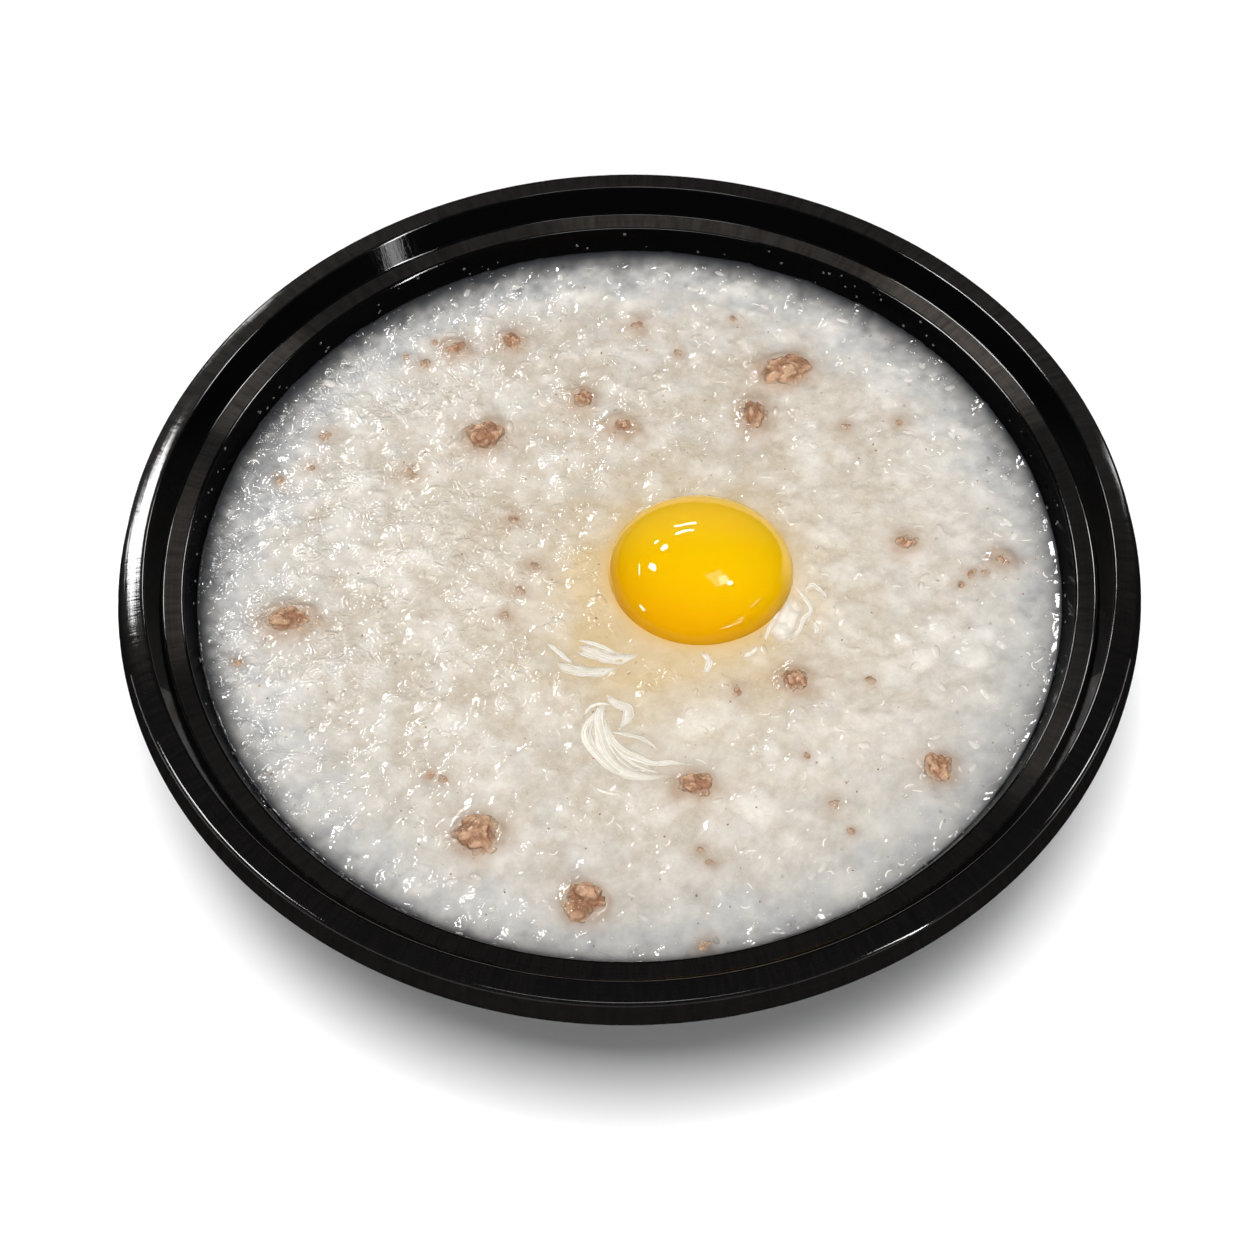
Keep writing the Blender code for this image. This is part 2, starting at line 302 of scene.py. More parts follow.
def strand(path, half_width, half_thick, sides=STRAND_SIDES):
    """A closed flat strand along a path of (x, y), draped on the congee: an oval whose ends draw to tips.

    Its underside hangs a little lower, to be sunk in the congee. Returns points, faces and gently
    rounded normals, which keep its thin sides from turning dark.
    """
    along = np.gradient(path, axis=0)
    along /= np.linalg.norm(along, axis=1, keepdims=True)
    across = np.stack([-along[:, 1], along[:, 0]], axis=1)
    angle = TURN * np.arange(sides) / sides
    ring = path[:, None] + across[:, None] * (half_width[:, None] * np.cos(angle))[..., None]
    tips = np.stack([path[0] - along[0] * half_width[0], path[-1] + along[-1] * half_width[-1]])
    level = np.concatenate([ring.reshape(-1, 2), tips])
    rise = (half_thick[:, None] * np.sin(angle) - 0.1 * MM * (np.sin(angle) < -1e-6)).ravel()
    ground = surface_height(level[:, 0], level[:, 1]) + 0.02 * MM
    points = np.column_stack([level, ground + np.append(rise, [0.0, 0.0])])
    last = len(path) * sides
    faces = ring_faces(len(path), sides)
    faces += fan_faces(last, np.arange(sides), False)
    faces += fan_faces(last + 1, np.arange(last - sides, last), True)
    lean = 0.45 * across[:, None] * np.cos(angle)[..., None]
    upright = np.where(np.sin(angle) > -0.7, 1.0, -1.0) + 0 * half_width[:, None]
    normals = np.concatenate([np.dstack([lean, upright]).reshape(-1, 3), [[0, 0, 1], [0, 0, 1]]])
    return points, faces, normals / np.linalg.norm(normals, axis=1, keepdims=True)


def join_parts(parts):
    """Several (points, faces, *masks) as one, with the face numbers moved on."""
    points, faces, masks = [], [], [[] for _ in parts[0][2:]]
    count = 0
    for part in parts:
        points.append(part[0])
        faces += [[i + count for i in face] for face in part[1]]
        for held, mask in zip(masks, part[2:]):
            held.append(mask)
        count += len(part[0])
    return (np.concatenate(points), faces, *(np.concatenate(mask) for mask in masks))


# Bowl

# Radii of the bowl's inner profile, from the floor's edge to the skirt, and how far the ledge lies
# below the top of the step.
FLOOR_EDGE = 62.4 * MM
WALL_TOP = 83.2 * MM
LEDGE_END = 86.8 * MM
LAND_START = 89.6 * MM
LAND_END = 93.7 * MM
SKIRT = 94.1 * MM
LEDGE_DEPTH = 5.7 * MM


def bowl_corners(bowl):
    """(radius, height, fillet) corners: floor, wall, ledge, step, land and lip, then outside to the foot."""
    top, wall = bowl.height, bowl.wall
    ledge, skirt, lip_top = top - LEDGE_DEPTH, top - 2.3 * MM, top - 4.9 * MM
    lip_foot = lip_top - 0.8 * MM
    foot = bowl.floor_height - wall
    return [
        (0.0, bowl.floor_height, 0.0),
        (FLOOR_EDGE, bowl.floor_height, 16.0 * MM),
        (WALL_TOP, ledge, 0.8 * MM),
        (LEDGE_END, ledge + 0.4 * MM, 0.8 * MM),
        (LAND_START, top, 0.8 * MM),
        (LAND_END, top - 0.5 * MM, 0.8 * MM),
        (SKIRT, skirt, 0.2 * MM),
        (bowl.lip_radius, lip_top, 0.25 * MM),
        (bowl.lip_radius, lip_foot, 0.2 * MM),
        (bowl.lip_radius - wall, lip_foot, 0.2 * MM),
        (SKIRT - wall, skirt - wall / 2, 0.1 * MM),
        (LAND_END - 1.1 * wall, top - 0.5 * MM - wall, 0.3 * MM),
        (LAND_START + 0.6 * wall, top - wall, 0.3 * MM),
        (LEDGE_END + 0.7 * wall, ledge + 0.4 * MM - wall, 0.5 * MM),
        (WALL_TOP + 0.6 * wall, ledge - wall, 0.5 * MM),
        (FLOOR_EDGE + 0.59 * wall, foot, 16.9 * MM),
        (50.5 * MM, foot, 0.3 * MM),
        (50.2 * MM, 0.0, 0.25 * MM),
        (47.8 * MM, 0.0, 0.25 * MM),
        (47.5 * MM, foot, 0.3 * MM),
        (0.0, foot, 0.0),
    ]


def rounded_profile(corners, arc_step=math.radians(12), stretch=6 * MM):
    """Points along straight runs between corners, each corner replaced by an arc of its fillet, and how
    far along the profile each lies. Long runs are cut at even steps of `stretch`."""
    corners = np.asarray(corners, float)
    points = [corners[0, :2]]
    for back, (radius, height, fillet), ahead in zip(corners, corners[1:], corners[2:]):
        corner = np.array([radius, height])
        before = (back[:2] - corner) / np.linalg.norm(back[:2] - corner)
        after = (ahead[:2] - corner) / np.linalg.norm(ahead[:2] - corner)
        opening = math.acos(np.clip(before @ after, -1, 1))
        centre = corner + (before + after) / np.linalg.norm(before + after) * fillet / math.sin(opening / 2)
        start = corner + before * fillet / math.tan(opening / 2)
        end = corner + after * fillet / math.tan(opening / 2)
        turn = math.pi - opening
        share = np.linspace(0, 1, max(3, round(turn / arc_step)) + 1)[:, None]
        spokes = np.sin((1 - share) * turn) * (start - centre) + np.sin(share * turn) * (end - centre)
        points.extend(centre + spokes / math.sin(turn))
    points.append(corners[-1, :2])
    points = np.array(points)
    run = np.concatenate([[0], np.cumsum(np.linalg.norm(np.diff(points, axis=0), axis=1))])
    cuts = [np.arange(a, b, stretch)[1:] for a, b in zip(run, run[1:]) if b - a > 2 * stretch]
    along = np.sort(np.concatenate([run, *cuts]))
    return np.stack([np.interp(along, run, points[:, i]) for i in range(2)], axis=1), along


def turned_surface(profile, steps):
    """A profile that starts and ends on the axis, turned about Z: rings of points and a tip at each end."""
    angle = TURN * np.arange(steps) / steps
    radius, height = profile[1:-1, 0, None], profile[1:-1, 1, None]
    rings = np.stack([radius * np.cos(angle), radius * np.sin(angle), height + 0 * angle], axis=-1)
    points = np.concatenate([[[0, 0, profile[0, 1]]], rings.reshape(-1, 3), [[0, 0, profile[-1, 1]]]])
    faces = ring_faces(len(profile) - 2, steps, start=1)
    faces += fan_faces(0, np.arange(1, steps + 1), True)
    faces += fan_faces(len(points) - 1, np.arange(len(points) - 1 - steps, len(points) - 1), False)
    return points, faces


def wall_radius(height):
    """The bowl's inner radius at a height on its straight wall."""
    bowl = bpy.context.scene.bowl_settings
    share = (height - bowl.floor_height) / (bowl.height - LEDGE_DEPTH - bowl.floor_height)
    return FLOOR_EDGE + share * (WALL_TOP - FLOOR_EDGE)


# Congee surface, held as maps on a square grid

MAP_STEP = 0.25 * MM
MAP_HALF = 332
MAP_SIZE = 2 * MAP_HALF + 1

# How far from the axis things are scattered: over the whole map, and clear of the wall.
CONGEE_REACH = 82 * MM
SHOWN_REACH = 78.5 * MM

# How high the congee climbs what it touches, and over what distance.
WALL_CLIMB, WALL_CLIMB_REACH = 0.7 * MM, 0.8 * MM
YOLK_CLIMB, YOLK_CLIMB_REACH = 0.25 * MM, 1.2 * MM
CRUMB_CLIMB, CRUMB_CLIMB_REACH = 0.5 * MM, 0.8 * MM

# Softened curds that stand out: (x, y, length, width, height, turn in degrees), in millimetres.
LARGE_CURDS = [
    (23.7, 71.2, 9.0, 5.5, 0.8, 10), (-62.2, -42.8, 8.0, 6.0, 0.6, 30), (54.3, -19.4, 6.5, 5.0, 0.7, 60),
    (63.8, -19.2, 6.5, 5.5, 0.8, -20), (65.8, -14.4, 5.0, 3.8, 0.6, 10), (12.5, -32.6, 9.5, 6.0, 0.6, 20),
    (21.7, -50.5, 9.0, 5.5, 0.6, -25), (50.6, -15.6, 4.5, 3.6, 0.6, -10), (57.6, -13.6, 5.5, 4.5, 0.6, 40),
    (-52.0, 22.0, 7.0, 4.0, 0.5, 50), (-40.0, 5.0, 8.0, 4.5, 0.5, -15), (-70.0, -24.0, 5.0, 4.0, 0.5, 0),
    (42.0, 61.0, 6.0, 4.0, 0.5, 15), (66.0, 33.0, 6.0, 4.5, 0.6, -40), (-10.0, 70.0, 7.0, 4.0, 0.5, 5),
    (38.0, -66.0, 6.5, 4.5, 0.5, 25), (-38.0, -66.0, 5.5, 4.0, 0.5, -30), (5.0, 22.0, 6.0, 4.0, 0.4, 70),
]

# Small bits of pork: (x, y, size), in millimetres.
PORK_BITS = [
    (-42.1, 24.8, 3.9), (-21.7, 13.3, 3.8), (-59.1, 34.5, 3.9), (-61.8, 26.6, 3.1), (-67.5, 23.8, 2.7),
    (-17.8, 2.6, 3.4), (-20.6, -3.1, 2.6), (-23.5, -8.7, 2.8), (43.1, 34.7, 3.1), (53.8, 35.7, 3.5),
    (2.6, 61.8, 4.1), (10.6, 54.2, 2.8), (21.9, 62.7, 2.8), (43.9, -24.4, 2.6), (19.6, -26.1, 2.9),
    (35.8, -50.2, 3.6), (38.4, -55.9, 1.8), (-36.2, -43.2, 2.9), (-34.0, -44.0, 2.5), (11.8, -59.2, 3.0),
    (13.4, -61.6, 2.6), (31.5, -40.2, 1.8), (12.0, -78.0, 3.4), (-72.7, -18.2, 2.6), (-40.0, 52.5, 3.5),
    (-44.1, 54.4, 1.8), (-38.4, 58.0, 2.2), (64.6, -1.0, 2.6), (67.4, -0.6, 2.8), (62.4, -3.4, 2.0),
]


def map_grid():
    """The x and y of every cell of a map."""
    line = (np.arange(MAP_SIZE) - MAP_HALF) * MAP_STEP
    return np.meshgrid(line, line)


def stamp(target, x, y, reach, shape, mix=np.add):
    """Mixes into a map the value shape(dx, dy) of each blob at (x, y), out to `reach` from its middle."""
    cells = np.arange(-int(reach / MAP_STEP), int(reach / MAP_STEP) + 1)
    column, row = (np.rint(line / MAP_STEP).astype(int)[:, None, None] + MAP_HALF for line in (x, y))
    column = np.clip(column + cells, 0, MAP_SIZE - 1)
    row = np.clip(row + cells[:, None], 0, MAP_SIZE - 1)
    dx = (column - MAP_HALF) * MAP_STEP - x[:, None, None]
    dy = (row - MAP_HALF) * MAP_STEP - y[:, None, None]
    mix.at(target, (row + 0 * column, column + 0 * row), shape(dx, dy, row, column))


def oval(dx, dy, half_length, half_width, turn):
    """The square of the distance from an oval's middle, 1 on its outline."""
    c, s = np.cos(turn)[:, None, None], np.sin(turn)[:, None, None]
    along = (dx * c + dy * s) / half_length[:, None, None]
    across = (dy * c - dx * s) / half_width[:, None, None]
    return along**2 + across**2


def soften(values, width):
    """A map smoothed by a Gaussian of that width, along one way and then the other."""
    reach = max(1, int(3 * width / MAP_STEP))
    kernel = np.exp(-0.5 * (np.arange(-reach, reach + 1) * MAP_STEP / width) ** 2)
    kernel /= kernel.sum()
    padded = np.pad(values, reach, mode="edge")
    smoothed = sum(k * padded[:, i:i + values.shape[1]] for i, k in enumerate(kernel))
    return sum(k * smoothed[i:i + values.shape[0]] for i, k in enumerate(kernel))


def read_map(values, x, y):
    """A map's values at places between its cells."""
    column = np.clip(x / MAP_STEP + MAP_HALF, 0, MAP_SIZE - 1.001)
    row = np.clip(y / MAP_STEP + MAP_HALF, 0, MAP_SIZE - 1.001)
    i, j = row.astype(int), column.astype(int)
    v, u = row - i, column - j
    low = values[i, j] * (1 - u) + values[i, j + 1] * u
    high = values[i + 1, j] * (1 - u) + values[i + 1, j + 1] * u
    return low * (1 - v) + high * v


def disc_places(count, radius, rng):
    """Random places all over a disc."""
    r = radius * np.sqrt(rng.uniform(0, 1, count))
    a = rng.uniform(0, TURN, count)
    return r * np.cos(a), r * np.sin(a)


def draw_ovals(rng, count, within, long_half, slimness, strength):
    """Random ovals over a disc, as rows of x, y, half length, half width, turn and strength.

    Half length and strength are given as (low, high, power, scale): a random number from low to high,
    raised to the power and scaled. Slimness is the range of half width over half length.
    """

    def draw(low, high, power, scale):
        return rng.uniform(low, high, count) ** power * scale

    x, y = disc_places(count, within, rng)
    half_length = draw(*long_half)
    half_width = half_length * rng.uniform(*slimness, count)
    return np.stack([x, y, half_length, half_width, rng.uniform(0, math.pi, count), draw(*strength)])


def stamp_ovals(target, ovals, reach, bend, shape):
    """Adds to a map the value shape(strength, away) of each oval, out to `reach` from its middle.

    `away` is the square of the distance from its middle, 1 on its outline, which the two bend maps bend.
    """
    x, y, half_length, half_width, turn, strength = ovals

    def value(dx, dy, row, column):
        away = oval(dx + bend[0][row, column], dy + bend[1][row, column], half_length, half_width, turn)
        return shape(strength[:, None, None], away)

    stamp(target, x, y, reach, value)


def off_oval(x, y, middle, half):
    """How far out places lie from an upright oval: 0 at its middle and 1 on its outline."""
    return np.hypot((x - middle[0]) / half[0], (y - middle[1]) / half[1])


def open_places(count, rng):
    """Random places on the congee, clear of the yolk and the crumbs."""
    x, y = disc_places(count, SHOWN_REACH, rng)
    middle, half, _, _ = yolk_box()
    clear = off_oval(x, y, middle, half) > 1.08
    for _, middle, half in crumb_boxes():
        clear &= off_oval(x, y, middle, half) > 1.15
    return x[clear], y[clear]


def crumb_boxes():
    """(name, middle, half sizes) of each pork crumb's CAD node, in order."""
    boxes = []
    for name in sorted(frame["nodes"]):
        if name.startswith("pork_crumb"):
            low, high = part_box(name)
            boxes.append((name, (np.array(low) + high) / 2, (np.array(high) - low) / 2))
    return boxes


def yolk_box():
    """The yolk's middle, half sizes and the heights of its top and foot."""
    low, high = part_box("egg_yolk")
    return (np.array(low) + high) / 2, (np.array(high) - low) / 2, high.z, low.z


@functools.lru_cache(maxsize=1)
def congee_maps():
    """Height, cloudiness, stains and liveliness of the congee's surface.

    The height is a broad swell, plus domes (1 - r^2)^0.75 of softened grains joined as the cube root of
    the sum of their cubes, plus fine layered noise, softened as a film of gruel would, rising where it
    meets the wall and the crumbs and sinking under them and the yolk. Cloudiness c adds up soft round
    blobs of burst rice, exp(-1.3 r^2), with light painted on the tops of the grains, and ends as
    1 - exp(-0.8 c). Ripples are liveliest at the left.
    """
    congee = bpy.context.scene.congee_settings
    rng = np.random.default_rng(7)
    x, y = map_grid()
    bend = [0.7 * MM * flat_noise(x, y, 2.6 * MM, seed) for seed in (11, 13)]

    curd_x, curd_y, long_side, short_side, tall, turn = np.transpose(LARGE_CURDS)
    sizes = np.stack([curd_x, curd_y, long_side / 2, short_side / 2]) * MM
    curds = np.vstack([sizes, np.radians(turn), tall * MM])
    small_height = (0.15, 1.0, 1.5, congee.grain_height)
    small = draw_ovals(rng, congee.grain_count, CONGEE_REACH, (1.2, 2.7, 1, MM), (0.45, 0.8), small_height)
    grains = np.zeros_like(x)
    stamp_ovals(
        grains,
        np.hstack([small, curds]),
        5 * MM,
        bend,
        lambda tall, away: (tall * np.clip(1 - away, 0, 1) ** 0.75 / MM) ** 3,
    )
    grains = np.cbrt(grains) * MM

    cloud = np.zeros_like(x)
    curds[-1] = 1.5
    fine = draw_ovals(rng, 2600, CONGEE_REACH, (0.5, 1.0, 2, 3.2 * MM), (0.5, 1.0), (0.1, 0.9, 1.5, 0.8))
    clumps = draw_ovals(rng, 420, 80 * MM, (1.0, 2.6, 1, MM), (0.5, 1.0), (0.1, 1.0, 1.5, 0.9))
    for ovals, reach in ((fine, 5 * MM), (clumps, 6 * MM), (curds, 7 * MM)):
        stamp_ovals(cloud, ovals, reach, bend, lambda strength, away: strength * np.exp(-1.3 * away))
    # Painted light: whiter on the tops of the grains.
    cloud += 0.55 * soften(grains, 0.4 * MM) / congee.grain_height
    # Cloudier towards the right and the front, and less so at the far left and along the front edge.
    cloud += 0.09 + 0.13 * (x - y) / (110 * MM)
    cloud -= 0.10 * ease((-x - 48 * MM) / (30 * MM)) + 0.05 * ease((-y - 50 * MM) / (30 * MM))
    cloud += 0.12 * flat_noise(x, y, 14 * MM, 17) + 0.26 * flat_noise(x, y, 1.0 * MM, 19)
    cloud = 1 - np.exp(-0.8 * np.clip(cloud, 0, None))

    height = 0.8 * soften(grains, 0.22 * MM) + 0.2 * soften(grains, 0.6 * MM)
    height += congee.swell * flat_noise(x, y, 18 * MM, 23)
    height += congee.film_height * flat_noise(x, y, 1.5 * MM, 29, layers=2)

    # Smooth where it climbs the yolk's foot, and sunk under it.
    middle, half, _, _ = yolk_box()
    yolk_gap = (off_oval(x, y, middle, half) - 1) * half[0]
    height *= ease(yolk_gap / (2.5 * MM))
    height += YOLK_CLIMB * np.exp(-((yolk_gap / YOLK_CLIMB_REACH) ** 2))
    height -= 3.0 * MM * ease((-0.8 * MM - yolk_gap) / (6 * MM))

    # Egg that ran out: a stain that drifts to the front and left of the yolk, and a line round its foot,
    # which is partly painted shade.
    drift = np.hypot(x - middle[0] + 4.5 * MM, (y - middle[1] + 6.0 * MM) * 0.95)
    reach = drift - half[0] + 4.0 * MM * flat_noise(x, y, 9 * MM, 31)
    stain = 0.62 * np.exp(-np.clip(reach, 0, None) / (7.5 * MM))
    # The line round the yolk's foot: egg stain and painted shade.
    stain += 0.38 * np.exp(-np.clip(yolk_gap, 0, None) / (1.1 * MM))
    stain = np.maximum(stain, 0.15 * np.exp(-((drift / (42 * MM)) ** 2)))

    # Meat juice round the crumbs and bits, and the congee's climb up the crumbs.
    broth = np.zeros_like(x)
    frayed = flat_noise(x, y, 2.3 * MM, 37)
    for _, place, size in crumb_boxes():
        gap = (off_oval(x, y, place, size) - 1) * min(size[:2]) + 0.7 * MM * frayed
        broth = np.maximum(broth, np.exp(-np.clip(gap, 0, None) / (1.4 * MM)))
        height += CRUMB_CLIMB * np.exp(-np.clip(gap + 0.3 * MM, 0, None) / CRUMB_CLIMB_REACH)
        height -= 0.6 * MM * ease(-gap / (3 * MM))
    for bit_x, bit_y, size in PORK_BITS:
        away = np.hypot(x - bit_x * MM, y - bit_y * MM) * (1 + 0.25 * frayed)
        broth = np.maximum(broth, np.exp(-((away / (0.7 * size * MM)) ** 2)))

    edge = wall_radius(congee.level) - np.hypot(x, y)
    height += WALL_CLIMB * np.exp(-np.clip(edge, 0, None) / WALL_CLIMB_REACH)

    # Ripples: livelier at the left, calmer at the back and the front, in patches, and none at the yolk.
    livelier = 0.30 + 0.70 * ease(0.40 + (0.1 * y - 1.0 * x) / (110 * MM))
    livelier *= 1 - 0.6 * ease((y - 45 * MM) / (25 * MM)) - 0.25 * ease((-y - 12 * MM) / (30 * MM))
    patchy = 0.30 + 0.85 * ease(0.45 + 0.9 * flat_noise(x, y, 5 * MM, 33))
    ripple = livelier * patchy * ease(yolk_gap / (2 * MM))

    # Thinner, smoother congee under the strands of egg white.
    beside = np.zeros_like(x)
    for route, width, _ in CURL_STRANDS + TONGUE_STRANDS:
        path = smooth_route(route, 40) * MM
        wide = (1.1 + 0.5 * width) * MM

        def trough(dx, dy, row, column):
            return np.exp(-(dx**2 + dy**2) / wide**2)

        stamp(beside, path[:, 0], path[:, 1], 5 * MM, trough, np.maximum)
    cloud *= 1 - 0.65 * beside
    ripple *= 1 - 0.8 * beside
    height -= 0.8 * beside * (height - soften(height, 1.5 * MM))
    return {"height": height, "cloud": cloud, "stain": stain, "broth": broth, "ripple": ripple}


def surface_height(x, y):
    """The congee's own height at places."""
    return bpy.context.scene.congee_settings.level + read_map(congee_maps()["height"], x, y)


def surface_masks(x, y):
    """The masks of the congee's colour and ripples at places, thinner towards the wall; the mask of the dark
    margin by the wall starts empty.
    """
    masks = {name: read_map(values, x, y) for name, values in congee_maps().items() if name != "height"}
    edge = np.clip(wall_radius(bpy.context.scene.congee_settings.level) - np.hypot(x, y), 0, None)
    masks["broth"] *= 0.62
    masks["thin"] = np.clip(np.exp(-((edge / (13 * MM)) ** 1.3)), 0, 1)
    masks["shallow"] = np.zeros(len(x))
    return masks


def disc_grid(count, radius):
    """A square grid of `count` points a side pressed into a disc, so that its cells stay alike."""
    line = np.linspace(-1, 1, count)
    a, b = np.meshgrid(line, line, indexing="ij")
    wide = np.abs(a) >= np.abs(b)
    far = np.where(wide, a, b)
    near = np.where(wide, b, a)
    angle = math.pi / 4 * near / np.where(far == 0, 1, far)
    long_side, short_side = far * np.cos(angle), far * np.sin(angle)
    x = np.where(wide, long_side, short_side) * radius
    y = np.where(wide, short_side, long_side) * radius
    number = np.arange(count * count).reshape(count, count)
    quads = np.stack([number[:-1, :-1], number[1:, :-1], number[1:, 1:], number[:-1, 1:]], axis=-1)
    rim = np.concatenate([number[:-1, 0], number[-1, :-1], number[:0:-1, -1], number[0, :0:-1]])
    return x.ravel(), y.ravel(), quads.reshape(-1, 4).tolist(), rim


# Finishes


def new_finish(name, **values):
    """A material with one Principled shader, whose uniform values are set on its sockets."""
    made = bpy.data.materials.new(name)
    made.use_nodes = True
    shader = made.node_tree.nodes["Principled BSDF"]
    for socket, value in values.items():
        shader.inputs[socket.replace("_", " ")].default_value = value
    return made, made.node_tree, shader


def add_node(tree, kind, values=None, **settings):
    """A shader node with its settings and its sockets' values."""
    made = tree.nodes.new("ShaderNode" + kind)
    for setting, value in settings.items():
        setattr(made, setting, value)
    for socket, value in (values or {}).items():
        made.inputs[socket].default_value = value
    return made


def wire(tree, source, target):
    """Links a node's first output, or a socket, to a socket."""
    tree.links.new(source.outputs[0] if hasattr(source, "outputs") else source, target)


def math_node(tree, operation, *terms, clamp=False):
    """A Math node whose terms are sockets or numbers."""
    made = add_node(tree, "Math", operation=operation, use_clamp=clamp)
    for socket, term in zip(made.inputs, terms):
        if isinstance(term, (int, float)):
            socket.default_value = term
        else:
            wire(tree, term, socket)
    return made.outputs[0]


def blend_colours(tree, share, first, second):
    """A colour between two, each a socket or three numbers."""
    made = add_node(tree, "Mix", data_type="RGBA")
    wire(tree, share, made.inputs[0])
    for socket, colour in ((made.inputs[6], first), (made.inputs[7], second)):
        if hasattr(colour, "is_output"):
            wire(tree, colour, socket)
        else:
            socket.default_value = (*colour, 1.0)
    return made.outputs[2]


def painted(tree, name):
    """A mask painted on the mesh's points."""
    return add_node(tree, "Attribute", attribute_name=name).outputs["Fac"]


def object_place(tree):
    """The place on the piece in its own coordinates."""
    return add_node(tree, "TexCoord").outputs["Object"]


def new_group(name, inputs, outputs):
    """An empty shader node group with named sockets: its tree, inner inputs and inner outputs."""
    tree = bpy.data.node_groups.new(name, "ShaderNodeTree")
    for label, kind, default in inputs:
        socket = tree.interface.new_socket(name=label, in_out="INPUT", socket_type=kind)
        if default is not None:
            socket.default_value = default
    for label, kind in outputs:
        tree.interface.new_socket(name=label, in_out="OUTPUT", socket_type=kind)
    return tree, tree.nodes.new("NodeGroupInput"), tree.nodes.new("NodeGroupOutput")


def use_group(tree, group, **values):
    """A group placed in a material, its inputs linked to sockets or set to numbers."""
    made = add_node(tree, "Group", node_tree=group)
    for label, value in values.items():
        socket = made.inputs[label.replace("_", " ")]
        if hasattr(value, "is_output"):
            wire(tree, value, socket)
        elif isinstance(value, tuple) and len(value) == 3 and socket.type == "RGBA":
            socket.default_value = (*value, 1.0)
        else:
            socket.default_value = value
    return made


@functools.lru_cache(maxsize=1)
def wet_relief_group():
    """Fine wet relief: soft ripples, narrow creases and small rounded beads, as a height in metres.

    A crease runs where a slow noise passes its middle: height = sqrt((noise - 0.5)^2 + 0.03^2).
    """
    tree, inner, outer = new_group(
        "wet_relief",
        [
            ("Vector", "NodeSocketVector", None),
            ("Ripple Scale", "NodeSocketFloat", 700.0),
            ("Ripple Height", "NodeSocketFloat", 0.00005),
            ("Ripple Twist", "NodeSocketFloat", 0.8),
            ("Crease Scale", "NodeSocketFloat", 330.0),
            ("Crease Height", "NodeSocketFloat", 0.0),
            ("Bead Scale", "NodeSocketFloat", 1100.0),
            ("Bead Height", "NodeSocketFloat", 0.00004),
        ],
        [("Height", "NodeSocketFloat")],
    )
    ripple = add_node(tree, "TexNoise", {"Detail": 1.0, "Roughness": 0.45})
    crease = add_node(tree, "TexNoise", {"Detail": 1.0, "Roughness": 0.5})
    bead = add_node(tree, "TexVoronoi", {"Smoothness": 0.35}, feature="SMOOTH_F1")
    for texture, scale in ((ripple, "Ripple Scale"), (crease, "Crease Scale"), (bead, "Bead Scale")):
        wire(tree, inner.outputs["Vector"], texture.inputs["Vector"])
        wire(tree, inner.outputs[scale], texture.inputs["Scale"])
    for texture in (ripple, crease):
        wire(tree, inner.outputs["Ripple Twist"], texture.inputs["Distortion"])
    sunk = math_node(tree, "MULTIPLY", bead.outputs["Distance"], 1.6)
    rounded = math_node(tree, "SUBTRACT", 1.0, sunk, clamp=True)
    raised = math_node(tree, "MULTIPLY", rounded, inner.outputs["Bead Height"])
    off_middle = math_node(tree, "SUBTRACT", crease.outputs["Fac"], 0.5)
    groove = math_node(tree, "SQRT", math_node(tree, "MULTIPLY_ADD", off_middle, off_middle, 0.03**2))
    folded = math_node(tree, "MULTIPLY_ADD", groove, inner.outputs["Crease Height"], raised)
    total = math_node(tree, "MULTIPLY_ADD", ripple.outputs["Fac"], inner.outputs["Ripple Height"], folded)
    wire(tree, total, outer.inputs["Height"])
    return tree


@functools.lru_cache(maxsize=1)
def mottle_group():
    """Two colours mixed by layered noise, with flecks of a third."""
    tree, inner, outer = new_group(
        "mottle",
        [
            ("Vector", "NodeSocketVector", None),
            ("Scale", "NodeSocketFloat", 400.0),
            ("Contrast", "NodeSocketFloat", 2.0),
            ("Base", "NodeSocketColor", None),
            ("Patch", "NodeSocketColor", None),
            ("Fleck", "NodeSocketColor", None),
            ("Fleck Scale", "NodeSocketFloat", 1500.0),
            ("Fleck Share", "NodeSocketFloat", 0.15),
        ],
        [("Colour", "NodeSocketColor"), ("Mask", "NodeSocketFloat")],
    )
    noise = add_node(tree, "TexNoise", {"Detail": 4.0, "Roughness": 0.6})
    wire(tree, inner.outputs["Vector"], noise.inputs["Vector"])
    wire(tree, inner.outputs["Scale"], noise.inputs["Scale"])
    centred = math_node(tree, "SUBTRACT", noise.outputs["Fac"], 0.5)
    share = math_node(tree, "MULTIPLY_ADD", centred, inner.outputs["Contrast"], 0.5, clamp=True)
    cells = add_node(tree, "TexVoronoi", feature="F1")
    wire(tree, inner.outputs["Vector"], cells.inputs["Vector"])
    wire(tree, inner.outputs["Fleck Scale"], cells.inputs["Scale"])
    near = math_node(tree, "SUBTRACT", inner.outputs["Fleck Share"], cells.outputs["Distance"])
    fleck = math_node(tree, "MULTIPLY", near, 9.0, clamp=True)
    two = blend_colours(tree, share, inner.outputs["Base"], inner.outputs["Patch"])
    three = blend_colours(tree, fleck, two, inner.outputs["Fleck"])
    wire(tree, three, outer.inputs["Colour"])
    wire(tree, share, outer.inputs["Mask"])
    return tree


